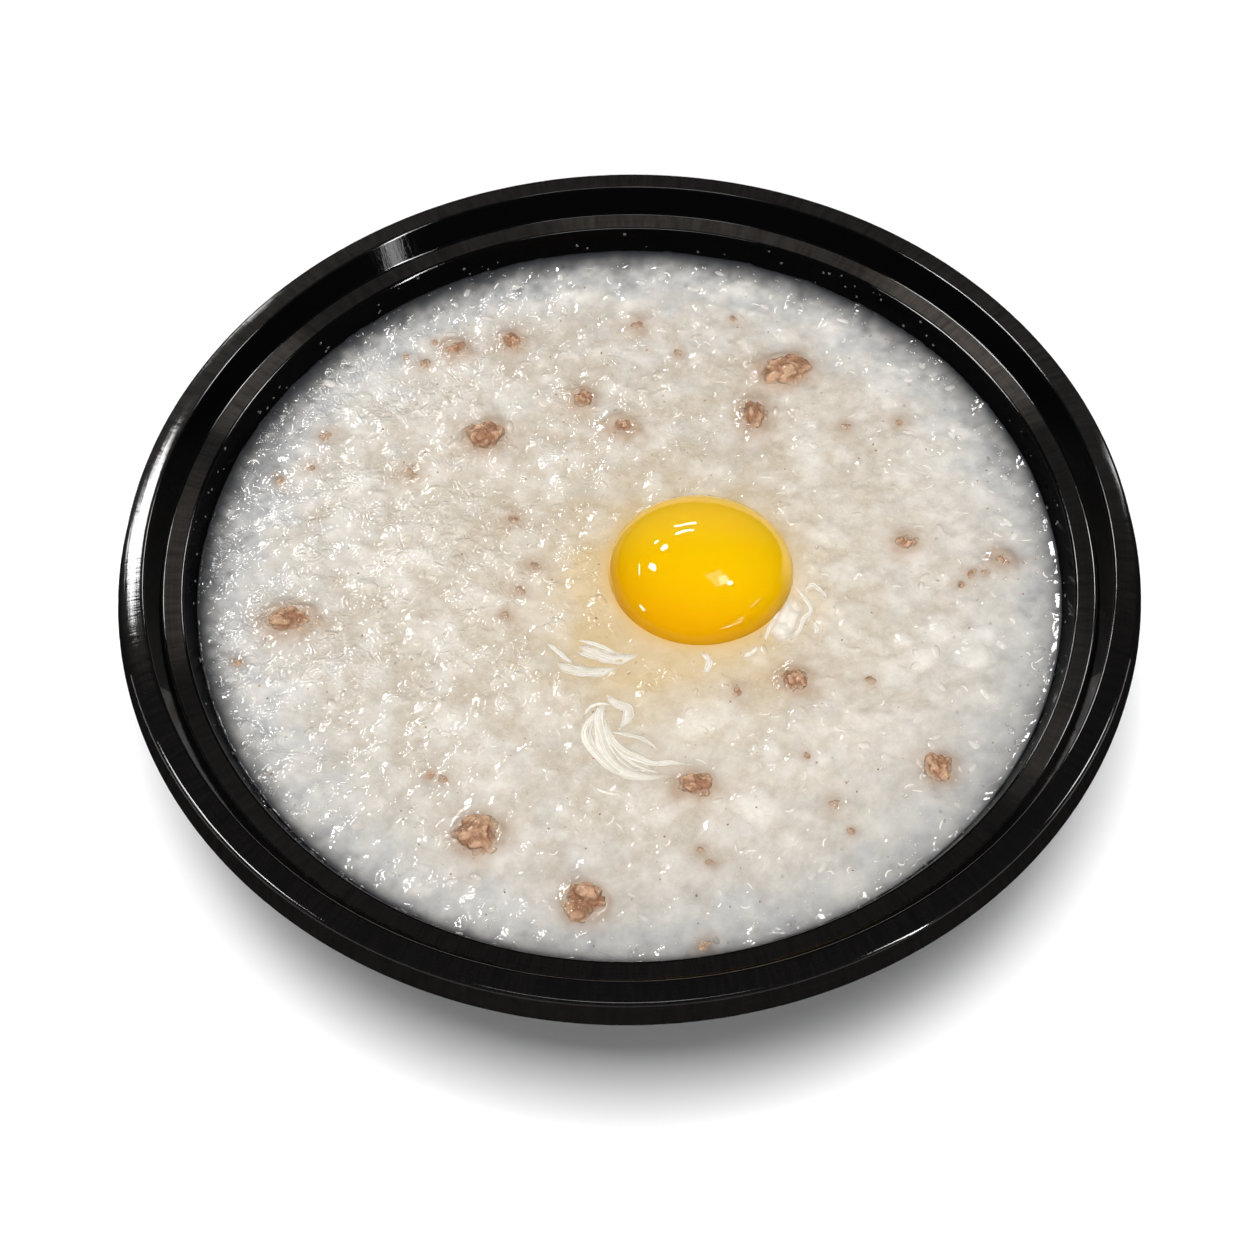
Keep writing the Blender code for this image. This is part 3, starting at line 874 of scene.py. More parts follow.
@functools.lru_cache(maxsize=1)
def mould_streaks_group():
    """Fine streaks that run out from the axis over a moulded piece, and rings round it.

    Both are noise over the heading and the way along the profile: quick round for the streaks, and
    quick along for the rings.
    """
    tree, inner, outer = new_group(
        "mould_streaks",
        [
            ("Vector", "NodeSocketVector", None),
            ("Along", "NodeSocketFloat", 0.0),
            ("Streaks Round", "NodeSocketFloat", 75.0),
            ("Streaks Across", "NodeSocketFloat", 160.0),
        ],
        [("Streaks", "NodeSocketFloat"), ("Rings", "NodeSocketFloat")],
    )
    level = add_node(tree, "VectorMath", {1: (1.0, 1.0, 0.0)}, operation="MULTIPLY")
    wire(tree, inner.outputs["Vector"], level.inputs[0])
    heading = add_node(tree, "VectorMath", operation="NORMALIZE")
    wire(tree, level, heading.inputs[0])
    split = add_node(tree, "SeparateXYZ")
    wire(tree, heading, split.inputs[0])
    for output, turning, across in (("Streaks", 1.0, 1.0), ("Rings", 0.03, 14.0)):
        place = add_node(tree, "CombineXYZ")
        often = math_node(tree, "MULTIPLY", inner.outputs["Streaks Round"], turning)
        wire(tree, math_node(tree, "MULTIPLY", split.outputs["X"], often), place.inputs["X"])
        wire(tree, math_node(tree, "MULTIPLY", split.outputs["Y"], often), place.inputs["Y"])
        spaced = math_node(tree, "MULTIPLY", inner.outputs["Streaks Across"], across)
        wire(tree, math_node(tree, "MULTIPLY", inner.outputs["Along"], spaced), place.inputs["Z"])
        noise = add_node(tree, "TexNoise", {"Scale": 1.0, "Detail": 3.0, "Roughness": 0.65})
        wire(tree, place, noise.inputs["Vector"])
        wire(tree, noise.outputs["Fac"], outer.inputs[output])
    return tree


def bump(tree, shader, height):
    """Lets a height in metres tilt the shader's normal."""
    made = add_node(tree, "Bump", {"Strength": 1.0, "Distance": 1.0})
    wire(tree, height, made.inputs["Height"])
    wire(tree, made, shader.inputs["Normal"])


def wet_skin(tree, shader, place, **values):
    """Bumps a material with the wet relief, at its own scales and heights."""
    bump(tree, shader, use_group(tree, wet_relief_group(), Vector=place, **values).outputs["Height"])


def vary_roughness(tree, shader, mask, span, least):
    """Roughness that grows by `span` over a mask."""
    wire(tree, math_node(tree, "MULTIPLY_ADD", mask, span, least), shader.inputs["Roughness"])


def dyed(colour, *shares):
    """A colour with its red, green and blue scaled, and none above 1."""
    return tuple(min(1.0, part * share) for part, share in zip(colour, shares * (3 // len(shares))))


def mixed(first, second, share):
    """The colour that lies `share` of the way from the first colour to the second."""
    return tuple((1 - share) * a + share * b for a, b in zip(first, second))


def black_plastic(name, gloss):
    """Black plastic with fine streaks across it, greyer where a reflection is painted on it; gloss is its
    specular level.
    """
    bowl = bpy.context.scene.bowl_settings
    made, tree, shader = new_finish(name, IOR=1.5, Metallic=0.0, Specular_IOR_Level=gloss)
    mould = use_group(tree, mould_streaks_group(), Vector=object_place(tree), Along=painted(tree, "along"))
    streaks, rings = mould.outputs["Streaks"], mould.outputs["Rings"]
    streaky = math_node(tree, "MULTIPLY_ADD", streaks, 0.9, 0.05, clamp=True)
    ringed = math_node(tree, "MULTIPLY_ADD", rings, 0.6, 0.5, clamp=True)
    # Painted reflection, broken up by the streaks and the rings.
    sheen_share = math_node(tree, "MULTIPLY", math_node(tree, "MULTIPLY", streaky, ringed), painted(tree, "worn"))
    wire(tree, blend_colours(tree, sheen_share, tuple(bowl.plastic), tuple(bowl.worn)), shader.inputs["Base Color"])
    vary_roughness(tree, shader, streaks, 0.10, 0.01)
    fine = math_node(tree, "MULTIPLY", rings, 0.010 * MM)
    bump(tree, shader, math_node(tree, "MULTIPLY_ADD", streaks, 0.014 * MM, fine))
    return made


def cloudy_rice(name, lively):
    """Wet rice: gruel and curd mixed by cloudiness and painted light, stained by yolk and meat juice, with
    painted shade round the yolk's foot, and dark where shallow and where shade is painted along the wall.

    `lively` is the height of its ripples in metres.
    """
    congee = bpy.context.scene.congee_settings
    made, tree, shader = new_finish(name, IOR=1.42, Metallic=0.0)
    place = object_place(tree)
    fine = add_node(tree, "TexNoise", {"Scale": 900.0, "Detail": 4.0, "Roughness": 0.7, "Distortion": 0.6})
    wire(tree, place, fine.inputs["Vector"])
    wavered = math_node(tree, "MULTIPLY_ADD", fine.outputs["Fac"], 0.9, -0.45)
    share = math_node(tree, "ADD", painted(tree, "cloud"), wavered, clamp=True)
    mottled = use_group(
        tree,
        mottle_group(),
        Vector=place,
        Scale=950.0,
        Contrast=1.6,
        Base=tuple(congee.gruel),
        Patch=dyed(congee.gruel, 0.93),
        Fleck=tuple(congee.curd),
        Fleck_Scale=1250.0,
        Fleck_Share=0.16,
    )
    colour = blend_colours(tree, painted(tree, "thin"), mottled.outputs["Colour"], tuple(congee.clear))
    colour = blend_colours(tree, share, colour, tuple(congee.curd))
    # Egg stain with painted shade at the yolk's foot, meat juice, and the dark margin of shallows and painted
    # shade.
    for mask in ("stain", "broth", "shallow"):
        colour = blend_colours(tree, painted(tree, mask), colour, tuple(getattr(congee, mask)))
    wire(tree, colour, shader.inputs["Base Color"])
    vary_roughness(tree, shader, share, 0.04, 0.05)
    wet_skin(
        tree,
        shader,
        place,
        Ripple_Scale=520.0,
        Ripple_Height=math_node(tree, "MULTIPLY", painted(tree, "ripple"), lively),
        Ripple_Twist=1.6,
        Crease_Scale=340.0,
        Crease_Height=math_node(tree, "MULTIPLY", painted(tree, "ripple"), 4.5 * lively),
        Bead_Scale=1300.0,
        Bead_Height=0.01 * MM,
    )
    return made


def yolk_skin():
    """Glossy yolk, with painted shade low down and towards the front, and a yellow film on its far edge whose
    colour also paints light over its back.
    """
    egg = bpy.context.scene.egg_settings
    made, tree, shader = new_finish(
        "egg_yolk",
        IOR=1.38,
        Metallic=0.0,
        Subsurface_Weight=0.25,
        Subsurface_Radius=(1.0, 0.55, 0.1),
        Subsurface_Scale=0.004,
    )
    place = object_place(tree)
    mottled = use_group(
        tree,
        mottle_group(),
        Vector=place,
        Scale=130.0,
        Contrast=1.2,
        Base=tuple(egg.yolk),
        Patch=dyed(egg.yolk, 0.99, 0.965, 1.0),
        Fleck=tuple(egg.yolk),
        Fleck_Scale=800.0,
        Fleck_Share=0.0,
    )
    # Painted shade low down and towards the front.
    colour = blend_colours(tree, painted(tree, "deep"), mottled.outputs["Colour"], tuple(egg.yolk_shade_colour))
    colour = blend_colours(tree, painted(tree, "film"), colour, tuple(egg.film))
    wire(tree, colour, shader.inputs["Base Color"])
    vary_roughness(tree, shader, mottled.outputs["Mask"], 0.015, 0.02)
    wet_skin(tree, shader, place, Ripple_Scale=160.0, Ripple_Height=0.03 * MM, Bead_Height=0.0)
    return made


def set_white():
    """Soft set egg white, mottled, thinning to a clear edge."""
    egg = bpy.context.scene.egg_settings
    made, tree, shader = new_finish("egg_white", IOR=1.40, Metallic=0.0)
    place = object_place(tree)
    mottled = use_group(
        tree,
        mottle_group(),
        Vector=place,
        Scale=900.0,
        Contrast=2.2,
        Base=tuple(egg.white),
        Patch=dyed(egg.white, 0.90, 0.87, 0.82),
        Fleck=dyed(egg.white, 1.08),
        Fleck_Scale=1600.0,
        Fleck_Share=0.2,
    )
    wire(tree, mottled.outputs["Colour"], shader.inputs["Base Color"])
    vary_roughness(tree, shader, mottled.outputs["Mask"], 0.12, 0.16)
    wire(tree, painted(tree, "thick"), shader.inputs["Alpha"])
    wet_skin(tree, shader, place, Ripple_Scale=1100.0, Ripple_Height=0.07 * MM, Bead_Height=0.02 * MM)
    return made


def minced_pork(name):
    """Cooked minced pork: brown, with painted shade in its creases, wet, and veiled by gruel round its foot.
    """
    pork = bpy.context.scene.pork_settings
    congee = bpy.context.scene.congee_settings
    made, tree, shader = new_finish(name, IOR=1.38, Metallic=0.0)
    place = object_place(tree)
    mottled = use_group(
        tree,
        mottle_group(),
        Vector=place,
        Scale=900.0,
        Contrast=2.4,
        Base=tuple(pork.light),
        Patch=mixed(pork.light, pork.dark, 0.5),
        Fleck=dyed(pork.light, 1.45),
        Fleck_Scale=1300.0,
        Fleck_Share=0.2,
    )
    # Painted shade in the creases; on the specks the same mask sets their own dark tone.
    colour = blend_colours(tree, painted(tree, "pit"), mottled.outputs["Colour"], tuple(pork.dark))
    milky = mixed(congee.gruel, congee.broth, 0.4)
    colour = blend_colours(tree, painted(tree, "veil"), colour, milky)
    wire(tree, colour, shader.inputs["Base Color"])
    vary_roughness(tree, shader, mottled.outputs["Mask"], 0.06, 0.03)
    wet_skin(
        tree,
        shader,
        place,
        Ripple_Scale=800.0,
        Ripple_Height=0.10 * MM,
        Ripple_Twist=1.0,
        Bead_Scale=1500.0,
        Bead_Height=0.22 * MM,
    )
    return made


def clear_liquid():
    """Clear thin liquid for bubbles and drops, a little cloudy in places."""
    made, tree, shader = new_finish(
        "clear_liquid", IOR=1.33, Metallic=0.0, Transmission_Weight=0.9, Base_Color=(0.95, 0.95, 0.95, 1.0)
    )
    noise = add_node(tree, "TexNoise", {"Scale": 900.0, "Detail": 2.0})
    wire(tree, object_place(tree), noise.inputs["Vector"])
    vary_roughness(tree, shader, noise.outputs["Fac"], 0.06, 0.02)
    return made


def pale_floor():
    """A plain pale floor with the faintest unevenness."""
    stage = bpy.context.scene.stage_settings
    made, tree, shader = new_finish("pale_floor", Metallic=0.0, Specular_IOR_Level=0.0)
    noise = add_node(tree, "TexNoise", {"Scale": 30.0, "Detail": 3.0})
    wire(tree, object_place(tree), noise.inputs["Vector"])
    colour = blend_colours(tree, noise.outputs["Fac"], tuple(stage.floor), dyed(stage.floor, 0.985))
    wire(tree, colour, shader.inputs["Base Color"])
    vary_roughness(tree, shader, noise.outputs["Fac"], 0.1, 0.8)
    return made


# Pieces


# How much reflection is painted on the ledge and the top land, as (degrees round from +X, share).
LEDGE_SHEEN = [
    (0, 0.12), (20, 0.14), (26, 0.75), (33, 0.95), (50, 0.85), (56, 0.32), (95, 0.45), (102, 0.22),
    (132, 0.16), (138, 0.20), (142, 0.65), (156, 0.60), (160, 0.15), (172, 0.40), (190, 0.45), (198, 0.10),
    (225, 0.14), (250, 0.08), (320, 0.10), (327, 0.40), (345, 0.22),
]
LAND_SHEEN = [
    (0, 0.12), (30, 0.24), (80, 0.16), (110, 0.22), (150, 0.34), (175, 0.30), (200, 0.06), (340, 0.05),
]


def plastic_of_faces(shell):
    """Which finish each face of the shell has: 0 glossy, 1 the duller inner wall and step, 2 the lip.

    Towards the front the step and the outer edge of the land are glossy.
    """
    middles = np.empty(3 * len(shell.data.polygons), np.float32)
    shell.data.polygons.foreach_get("center", middles)
    x, y, level = middles.reshape(-1, 3).T
    outward = np.hypot(x, y)
    bowl = bpy.context.scene.bowl_settings
    ledge = bowl.height - LEDGE_DEPTH
    wall = (level > 1.5 * MM) & (level < ledge - 0.6 * MM) & (outward < wall_radius(level) + 0.3 * MM)
    on_step = (outward > LEDGE_END + 0.4 * MM) & (outward < LAND_START - 0.4 * MM)
    wall |= on_step & (y > -0.35 * np.abs(x))
    lip = outward > LAND_END + 0.15 * MM
    lip |= (outward > LAND_END - 0.8 * MM) & (y > -0.3 * np.abs(x))
    return np.where(lip, 2, wall).astype(np.int32)


class MakeBowl(bpy.types.Operator):
    """Turn the bowl's profile about its axis"""

    bl_idname = "congee.make_bowl"
    bl_label = "Bowl"

    def execute(self, context):
        bowl = context.scene.bowl_settings
        profile, run = rounded_profile(bowl_corners(bowl))
        points, faces = turned_surface(profile, bowl.turn_steps)
        along = np.concatenate([[0], np.repeat(run[1:-1], bowl.turn_steps), [run[-1]]])
        radius, height = np.hypot(points[:, 0], points[:, 1]), points[:, 2]
        turn = np.degrees(np.arctan2(points[:, 1], points[:, 0])) % 360
        on_ledge = (radius > WALL_TOP + 0.3 * MM) & (radius < LEDGE_END - 0.2 * MM)
        on_ledge &= height > bowl.height - LEDGE_DEPTH - 0.05 * MM
        on_land = ease((radius - LAND_START + 0.2 * MM) / (0.6 * MM))
        on_land *= ease((height - bowl.height) / (0.7 * MM) + 2.2)
        # Painted reflection: grey bands on the ledge and the land, set by heading, and an even tenth of that
        # grey on everything past the land's outer edge.
        worn = on_ledge * np.interp(turn, *np.transpose(LEDGE_SHEEN), period=360)
        worn += on_land * np.interp(turn, *np.transpose(LAND_SHEEN), period=360)
        worn = np.maximum(worn * ease((height - 44 * MM) / (5 * MM)), 0.10 * (radius > LAND_END - 0.1 * MM))
        masks = {"along": along, "worn": worn}
        plastic = black_plastic("black_plastic", 0.16)
        shell = add_piece("bowl_shell", points, faces, plastic, ["bowl"], masks)
        shell.data.materials.append(black_plastic("black_plastic_wall", 0.024))
        shell.data.materials.append(black_plastic("black_plastic_lip", 0.0))
        shell.data.polygons.foreach_set("material_index", plastic_of_faces(shell))
        return {"FINISHED"}


class MakeCongee(bpy.types.Operator):
    """Fill the bowl with congee up to its level"""

    bl_idname = "congee.make_congee"
    bl_label = "Congee"

    def execute(self, context):
        bowl, congee = context.scene.bowl_settings, context.scene.congee_settings
        tuck = 0.1 * MM
        brim = wall_radius(congee.level + 0.5 * MM) + tuck
        x, y, faces, rim = disc_grid(congee.surface_steps, brim)
        top = np.stack([x, y, surface_height(x, y)], axis=1)
        heading = top[rim, :2] / brim
        low = bowl.floor_height + 0.05 * MM
        rows = [(wall_radius(z) + tuck, z) for z in (congee.level - 1 * MM, 30 * MM, 14 * MM)]
        rows += [(59.5 * MM, 6.5 * MM), (54.0 * MM, 2.9 * MM), (49.0 * MM, low)]
        skirt = np.concatenate([np.column_stack([heading * r, np.full(len(rim), z)]) for r, z in rows])
        numbers = np.concatenate([rim, len(top) + np.arange(len(skirt))])
        faces += numbers[np.array(ring_faces(len(rows) + 1, len(rim)))][:, ::-1].tolist()
        faces += fan_faces(len(top) + len(skirt), numbers[-len(rim):], False)
        points = np.concatenate([top, skirt, [[0, 0, low]]])

        # Painted shade and the dark wall showing through thin congee: a dark frayed margin along the wall,
        # wider behind and at the left.
        x, y = points[:, 0], points[:, 1]
        behind, left = y / brim, -x / brim
        edge = wall_radius(congee.level) - np.hypot(x, y)
        edge *= 1 + 0.40 * flat_noise(x, y, 1.8 * MM, 35)
        edge *= 1 + 0.22 * flat_noise(x, y, 6 * MM, 36)
        band = (4.0 + 1.4 * behind + 1.2 * np.clip(left, 0, 1) * (1 + behind)) * MM
        shallow = np.exp(-((np.clip(edge, 0, None) / band) ** (1.05 + 0.45 * behind + 0.35 * left)))
        shallow[len(top):] = 1.0
        masks = surface_masks(x, y)
        masks["shallow"] = np.clip(shallow, 0, 1)
        patches = 0.4 * ease(0.2 + 0.9 * flat_noise(x, y, 5 * MM, 45))
        patches += 0.7 * np.exp(-((np.clip(edge, 0, None) / (1.7 * band)) ** 2))
        masks["thin"] = np.clip(masks["thin"] + patches, 0, 1)
        finish = cloudy_rice("rice_congee", 0.155 * MM)
        add_piece("congee_filling", points, faces, finish, ["congee"], masks)
        return {"FINISHED"}


class MakeYolk(bpy.types.Operator):
    """Float the raw yolk in the congee"""

    bl_idname = "congee.make_yolk"
    bl_label = "Egg yolk"

    def execute(self, context):
        egg, congee = context.scene.egg_settings, context.scene.congee_settings
        middle, half, top, foot = yolk_box()
        unit, faces = ball(egg.yolk_rings, 2 * egg.yolk_rings)
        level_part = np.hypot(unit[:, 0], unit[:, 1])
        angle = np.arctan2(unit[:, 1], unit[:, 0])
        wobble = 1 + 0.006 * np.cos(2 * angle + 0.8) + 0.005 * np.cos(3 * angle - 0.5) - 0.011
        fuller = np.where(level_part > 1e-6, np.maximum(level_part, 1e-6) ** -0.1, 0.0) * wobble
        tall = np.where(unit[:, 2] > 0, top - congee.level, congee.level - foot)
        level = middle[:2] + unit[:, :2] * fuller[:, None] * half[:2]
        points = np.column_stack([level, congee.level + unit[:, 2] * tall])

        back = unit[:, 1] + 0.35 * np.abs(unit[:, 0]) + 0.10
        out = off_oval(points[:, 0], points[:, 1], middle, half)
        inner = 0.91 - 0.05 * np.cos(angle) - 0.26 * np.clip(np.sin(angle), 0, 1) ** 1.5
        film = ease((out - inner) / 0.02) * ease(back / 0.45)
        # Painted light: a fifth of the film's colour over the back of the yolk.
        film = np.maximum(film, 0.2 * ease(unit[:, 1] / 0.6 + 0.15)) * (points[:, 2] > congee.level)
        # Painted shade: darker, more orange low on the yolk and towards the front and the left.
        lean = -0.35 * unit[:, 0] - 0.75 * unit[:, 1]
        deep = ease((1 - unit[:, 2]) * 0.55 + 0.78 * lean)
        masks = {"film": film, "deep": deep}
        add_piece("yolk", points, faces, yolk_skin(), ["egg_yolk"], masks)
        return {"FINISHED"}


# Egg white: each strand's route as (x, y), its widest width and its thickness, in millimetres.
CURL_STRANDS = [
    ([(-4.6, -28.4), (-5.4, -30.3), (-5.6, -33.0), (-5.2, -36.3), (-4.2, -39.5), (-2.4, -42.0), (0.0, -43.5),
      (3.2, -44.2), (6.4, -44.0)], 2.1, 1.0),
    ([(-4.6, -31.6), (-4.3, -34.6), (-3.2, -37.0), (-1.2, -39.0), (1.0, -40.3), (3.9, -41.5), (7.2, -41.2),
      (11.1, -41.8)], 1.3, 0.8),
    ([(-4.4, -34.3), (-1.4, -35.1), (1.3, -36.0), (3.1, -37.0), (5.0, -38.7)], 0.8, 0.6),
    ([(-5.2, -29.4), (-7.1, -31.8), (-8.2, -34.4), (-7.5, -37.0), (-5.8, -39.9), (-3.6, -42.6),
      (-1.0, -44.9)], 1.5, 0.8),
    ([(-4.4, -26.4), (-2.6, -28.4), (-0.6, -29.6), (-0.6, -31.8), (-2.2, -34.4)], 1.7, 0.8),
    ([(-3.4, -36.6), (-1.4, -39.9), (1.6, -42.3), (5.0, -43.4)], 0.7, 0.6),
    ([(-8.6, -31.4), (-7.3, -29.2), (-5.3, -28.5), (-3.4, -28.9)], 0.6, 0.5),
]
TONGUE_STRANDS = [
    ([(-13.4, -19.2), (-12.0, -20.7), (-9.7, -21.5), (-7.4, -21.9), (-4.8, -21.6), (-2.4, -20.6)], 2.0, 0.9),
    ([(-9.4, -15.6), (-7.3, -16.5), (-5.2, -17.8), (-3.1, -18.7), (-1.0, -18.7), (1.4, -18.2)], 2.1, 0.9),
    ([(-9.6, -14.4), (-7.0, -15.2), (-4.6, -16.5), (-2.4, -18.0)], 0.8, 0.6),
    ([(-10.0, -17.0), (-7.6, -18.0), (-5.2, -18.9)], 0.7, 0.5),
    ([(-15.6, -15.2), (-14.1, -16.4), (-12.3, -18.0), (-10.4, -19.6)], 1.0, 0.6),
]
FRILL_STRANDS = [
    ([(30.4, -2.6), (32.4, -5.4), (33.9, -8.4), (32.4, -10.6), (31.4, -13.0), (29.6, -15.6)], 0.9, 0.6),
    ([(32.6, -4.4), (34.4, -2.9), (36.1, -4.4), (37.0, -6.4)], 0.9, 0.5),
    ([(28.4, -8.4), (27.0, -11.0), (25.6, -13.6), (25.0, -15.4)], 0.7, 0.5),
]
WISPS = [
    ([(13.2, -17.8), (14.4, -19.0), (14.3, -20.8), (13.2, -22.2)], 1.2, 0.6),
    ([(34.3, -11.0), (34.9, -12.8), (34.2, -14.4)], 0.8, 0.5),
    ([(20.6, -18.8), (22.4, -17.9), (23.8, -16.6)], 0.7, 0.5),
    ([(-6.9, -46.2), (-4.4, -47.4), (-1.8, -47.8)], 0.6, 0.5),
]
FRILL_OUTLINE = [
    (30.2, -4.4), (31.4, -5.0), (33.0, -8.2), (31.8, -11.4), (30.6, -14.8), (29.2, -16.6), (27.0, -17.0),
    (25.2, -15.0), (26.2, -11.2), (28.4, -7.6),
]


def white_strands(strands, seed):
    """Each route carries a thin sheet and a bundle of fibres that wander across it, all lying on the congee.

    A fibre's offset across the route is a sine that drifts along it. Its half width follows sin(pi t)^0.6
    of its own run, and its cover fades at its sides and its tips.
    """
    rng = np.random.default_rng(seed)
    parts = []
    angle = TURN * np.arange(STRAND_SIDES) / STRAND_SIDES
    for route, width, thickness in strands:
        path = smooth_route(route, ROUTE_STEPS) * MM
        along = np.gradient(path, axis=0)
        across = np.stack([-along[:, 1], along[:, 0]], axis=1) / np.linalg.norm(along, axis=1)[:, None]
        fibres = max(2, round(width * 2.4))
        for k in range(fibres + 1):
            sheet = k == fibres
            first, last = (0, 0) if sheet else (rng.integers(0, 14), rng.integers(0, 14))
            last = ROUTE_STEPS - last
            share = np.linspace(0, 1, last - first)
            belly = np.sin(math.pi * (0.03 + 0.94 * share)) ** 0.6
            whole = np.sin(math.pi * (0.03 + 0.94 * np.linspace(0, 1, ROUTE_STEPS)[first:last])) ** 0.5
            lane = 0.0 if sheet else ((k + 0.5) / fibres - 0.5) * width
            drift = 0.16 * width * np.sin(share * rng.uniform(2, 6) + rng.uniform(0, 6))
            centre = path[first:last] + across[first:last] * ((lane * whole + drift) * MM)[:, None]
            broad = width * 0.66 if sheet else rng.uniform(0.14, 0.34)
            half_width = broad * MM * belly * (1 + 0.15 * np.sin(share * 21 + k))
            half_thick = (0.11 if sheet else 0.13 + 0.12 * thickness * rng.uniform(0.3, 1)) * MM * belly
            points, faces, normals = strand(centre, half_width, half_thick)
            cover = (1 - np.abs(np.cos(angle)) ** 5)[None] * ease(belly * 1.3)[:, None]
            cover = np.append(cover.ravel(), [0, 0]) * (0.8 if sheet else rng.uniform(0.55, 0.95))
            parts.append((points, faces, normals, cover))
    return join_parts(parts)


def veil_patch(outline, thickness, rise, rings=22, sides=72):
    """A thin lens inside an outline: heights fall from the middle as 1 - r^3, with soft folds across it."""
    corners = smooth_route([*outline, outline[0]], sides + 1)[:-1] * MM
    middle = corners.mean(axis=0)
    share = (np.arange(1, rings + 1) / rings)[:, None]
    x = middle[0] + (corners[:, 0] - middle[0]) * share
    y = middle[1] + (corners[:, 1] - middle[1]) * share
    folds = 0.16 * MM * np.sin((x * 0.8 + y * 0.6) / (0.55 * MM) + 2 * flat_noise(x, y, 2 * MM, 41))
    base = surface_height(x, y)
    body = 1 - share**3
    upper = base + rise * body + folds * body
    lower = base - thickness * body
    tip_z = surface_height(middle[:1], middle[1:])[0]
    top = np.stack([x, y, upper], axis=-1).reshape(-1, 3)
    foot = np.stack([x[:-1], y[:-1], lower[:-1]], axis=-1).reshape(-1, 3)
    points = np.concatenate([[[*middle, tip_z + rise]], top, foot, [[*middle, tip_z - thickness]]])
    faces = fan_faces(0, np.arange(1, sides + 1), True)
    faces += [face[::-1] for face in ring_faces(rings, sides, start=1)]
    start, tip = 1 + rings * sides, len(points) - 1
    faces += ring_faces(rings - 1, sides, start=start)
    rim, last = np.arange(start - sides, start), np.arange(tip - sides, tip)
    faces += np.stack([rim, last, np.roll(last, -1), np.roll(rim, -1)], axis=1).tolist()
    faces += fan_faces(tip, np.arange(start, start + sides), False)
    spread = np.concatenate([[0], np.repeat(share[:, 0], sides), np.repeat(share[:-1, 0], sides), [0]])
    return points, faces, spread


class MakeEggWhite(bpy.types.Operator):
    """Lay the strands and the thin patch of set egg white"""

    bl_idname = "congee.make_egg_white"
    bl_label = "Egg white"

    def execute(self, context):
        finish = set_white()
        for name, strands, nodes, seed in (
            ("white_curl", CURL_STRANDS, ["egg_white_curl"], 101),
            ("white_tongue", TONGUE_STRANDS, ["egg_white_tongue"], 102),
            ("white_wisps", WISPS + FRILL_STRANDS, [], 103),
        ):
            points, faces, normals, cover = white_strands(strands, seed)
            add_piece(name, points, faces, finish, nodes, {"thick": cover}, normals)
        points, faces, spread = veil_patch(FRILL_OUTLINE, 0.5 * MM, 0.45 * MM)
        cover = 0.8 * (1 - ease((spread - 0.4) / 0.6))
        add_piece("white_frill", points, faces, finish, ["egg_white_frill"], {"thick": cover})
        return {"FINISHED"}


def crumb_shape(unit, seed, depth):
    """How far each direction reaches, and how deep in a crease it lies.

    A broad swell is set with rounded granules, each standing out as 1 - d^2 of its distance from its
    own direction, with fine grain.
    """
    rng = np.random.default_rng(1000 + seed)
    shift = rng.uniform(-50, 50, 3)
    warped = unit + 0.16 * np.stack([lattice_noise(unit * 4.0 + shift, 43 + i) for i in range(3)], axis=1)
    crease = np.zeros(len(unit))
    for count, share in ((34, 0.5), (110, 0.5)):
        middles = rng.normal(size=(count, 3))
        middles /= np.linalg.norm(middles, axis=1, keepdims=True)
        spread = 2.6 / math.sqrt(count)
        gap = np.linalg.norm(warped[:, None] - middles[None], axis=2).min(axis=1) / spread
        crease += share * np.clip(gap, 0, 1) ** 2
    broad = lattice_noise(unit * 1.3 + shift, 59)
    fine = lattice_noise(unit * 12.0 + shift, 53)
    return 1 + depth * (0.75 * broad - 1.0 * crease + 0.08 * fine), crease


class MakePorkCrumbs(bpy.types.Operator):
    """Set the crumbs of minced pork in their places"""

    bl_idname = "congee.make_pork_crumbs"
    bl_label = "Pork crumbs"

    def execute(self, context):
        finish = minced_pork("minced_pork")
        depth = context.scene.pork_settings.nodules
        for k, (name, middle, half) in enumerate(crumb_boxes()):
            rings = 60 if max(half) > 3.5 * MM else 44
            unit, faces = ball(rings, int(1.5 * rings))
            reach, crease = crumb_shape(unit, k, depth)
            shape = unit * reach[:, None]
            low, high = shape.min(axis=0), shape.max(axis=0)
            points = middle + (shape - (low + high) / 2) / (high - low) * 2 * half
            # Painted shade: darker deep in the creases.
            pit = ease((crease - 0.12) / 0.55)
            above = points[:, 2] - surface_height(points[:, 0], points[:, 1])
            waver = 0.5 * lattice_noise(points / (1.3 * MM), 61)
            veil = 1 - ease((above / MM + 0.15 + waver) / 1.1)
            masks = {"pit": pit, "veil": 0.9 * veil}
            add_piece(name + "_browned", points, faces, finish, [name], masks)
        return {"FINISHED"}


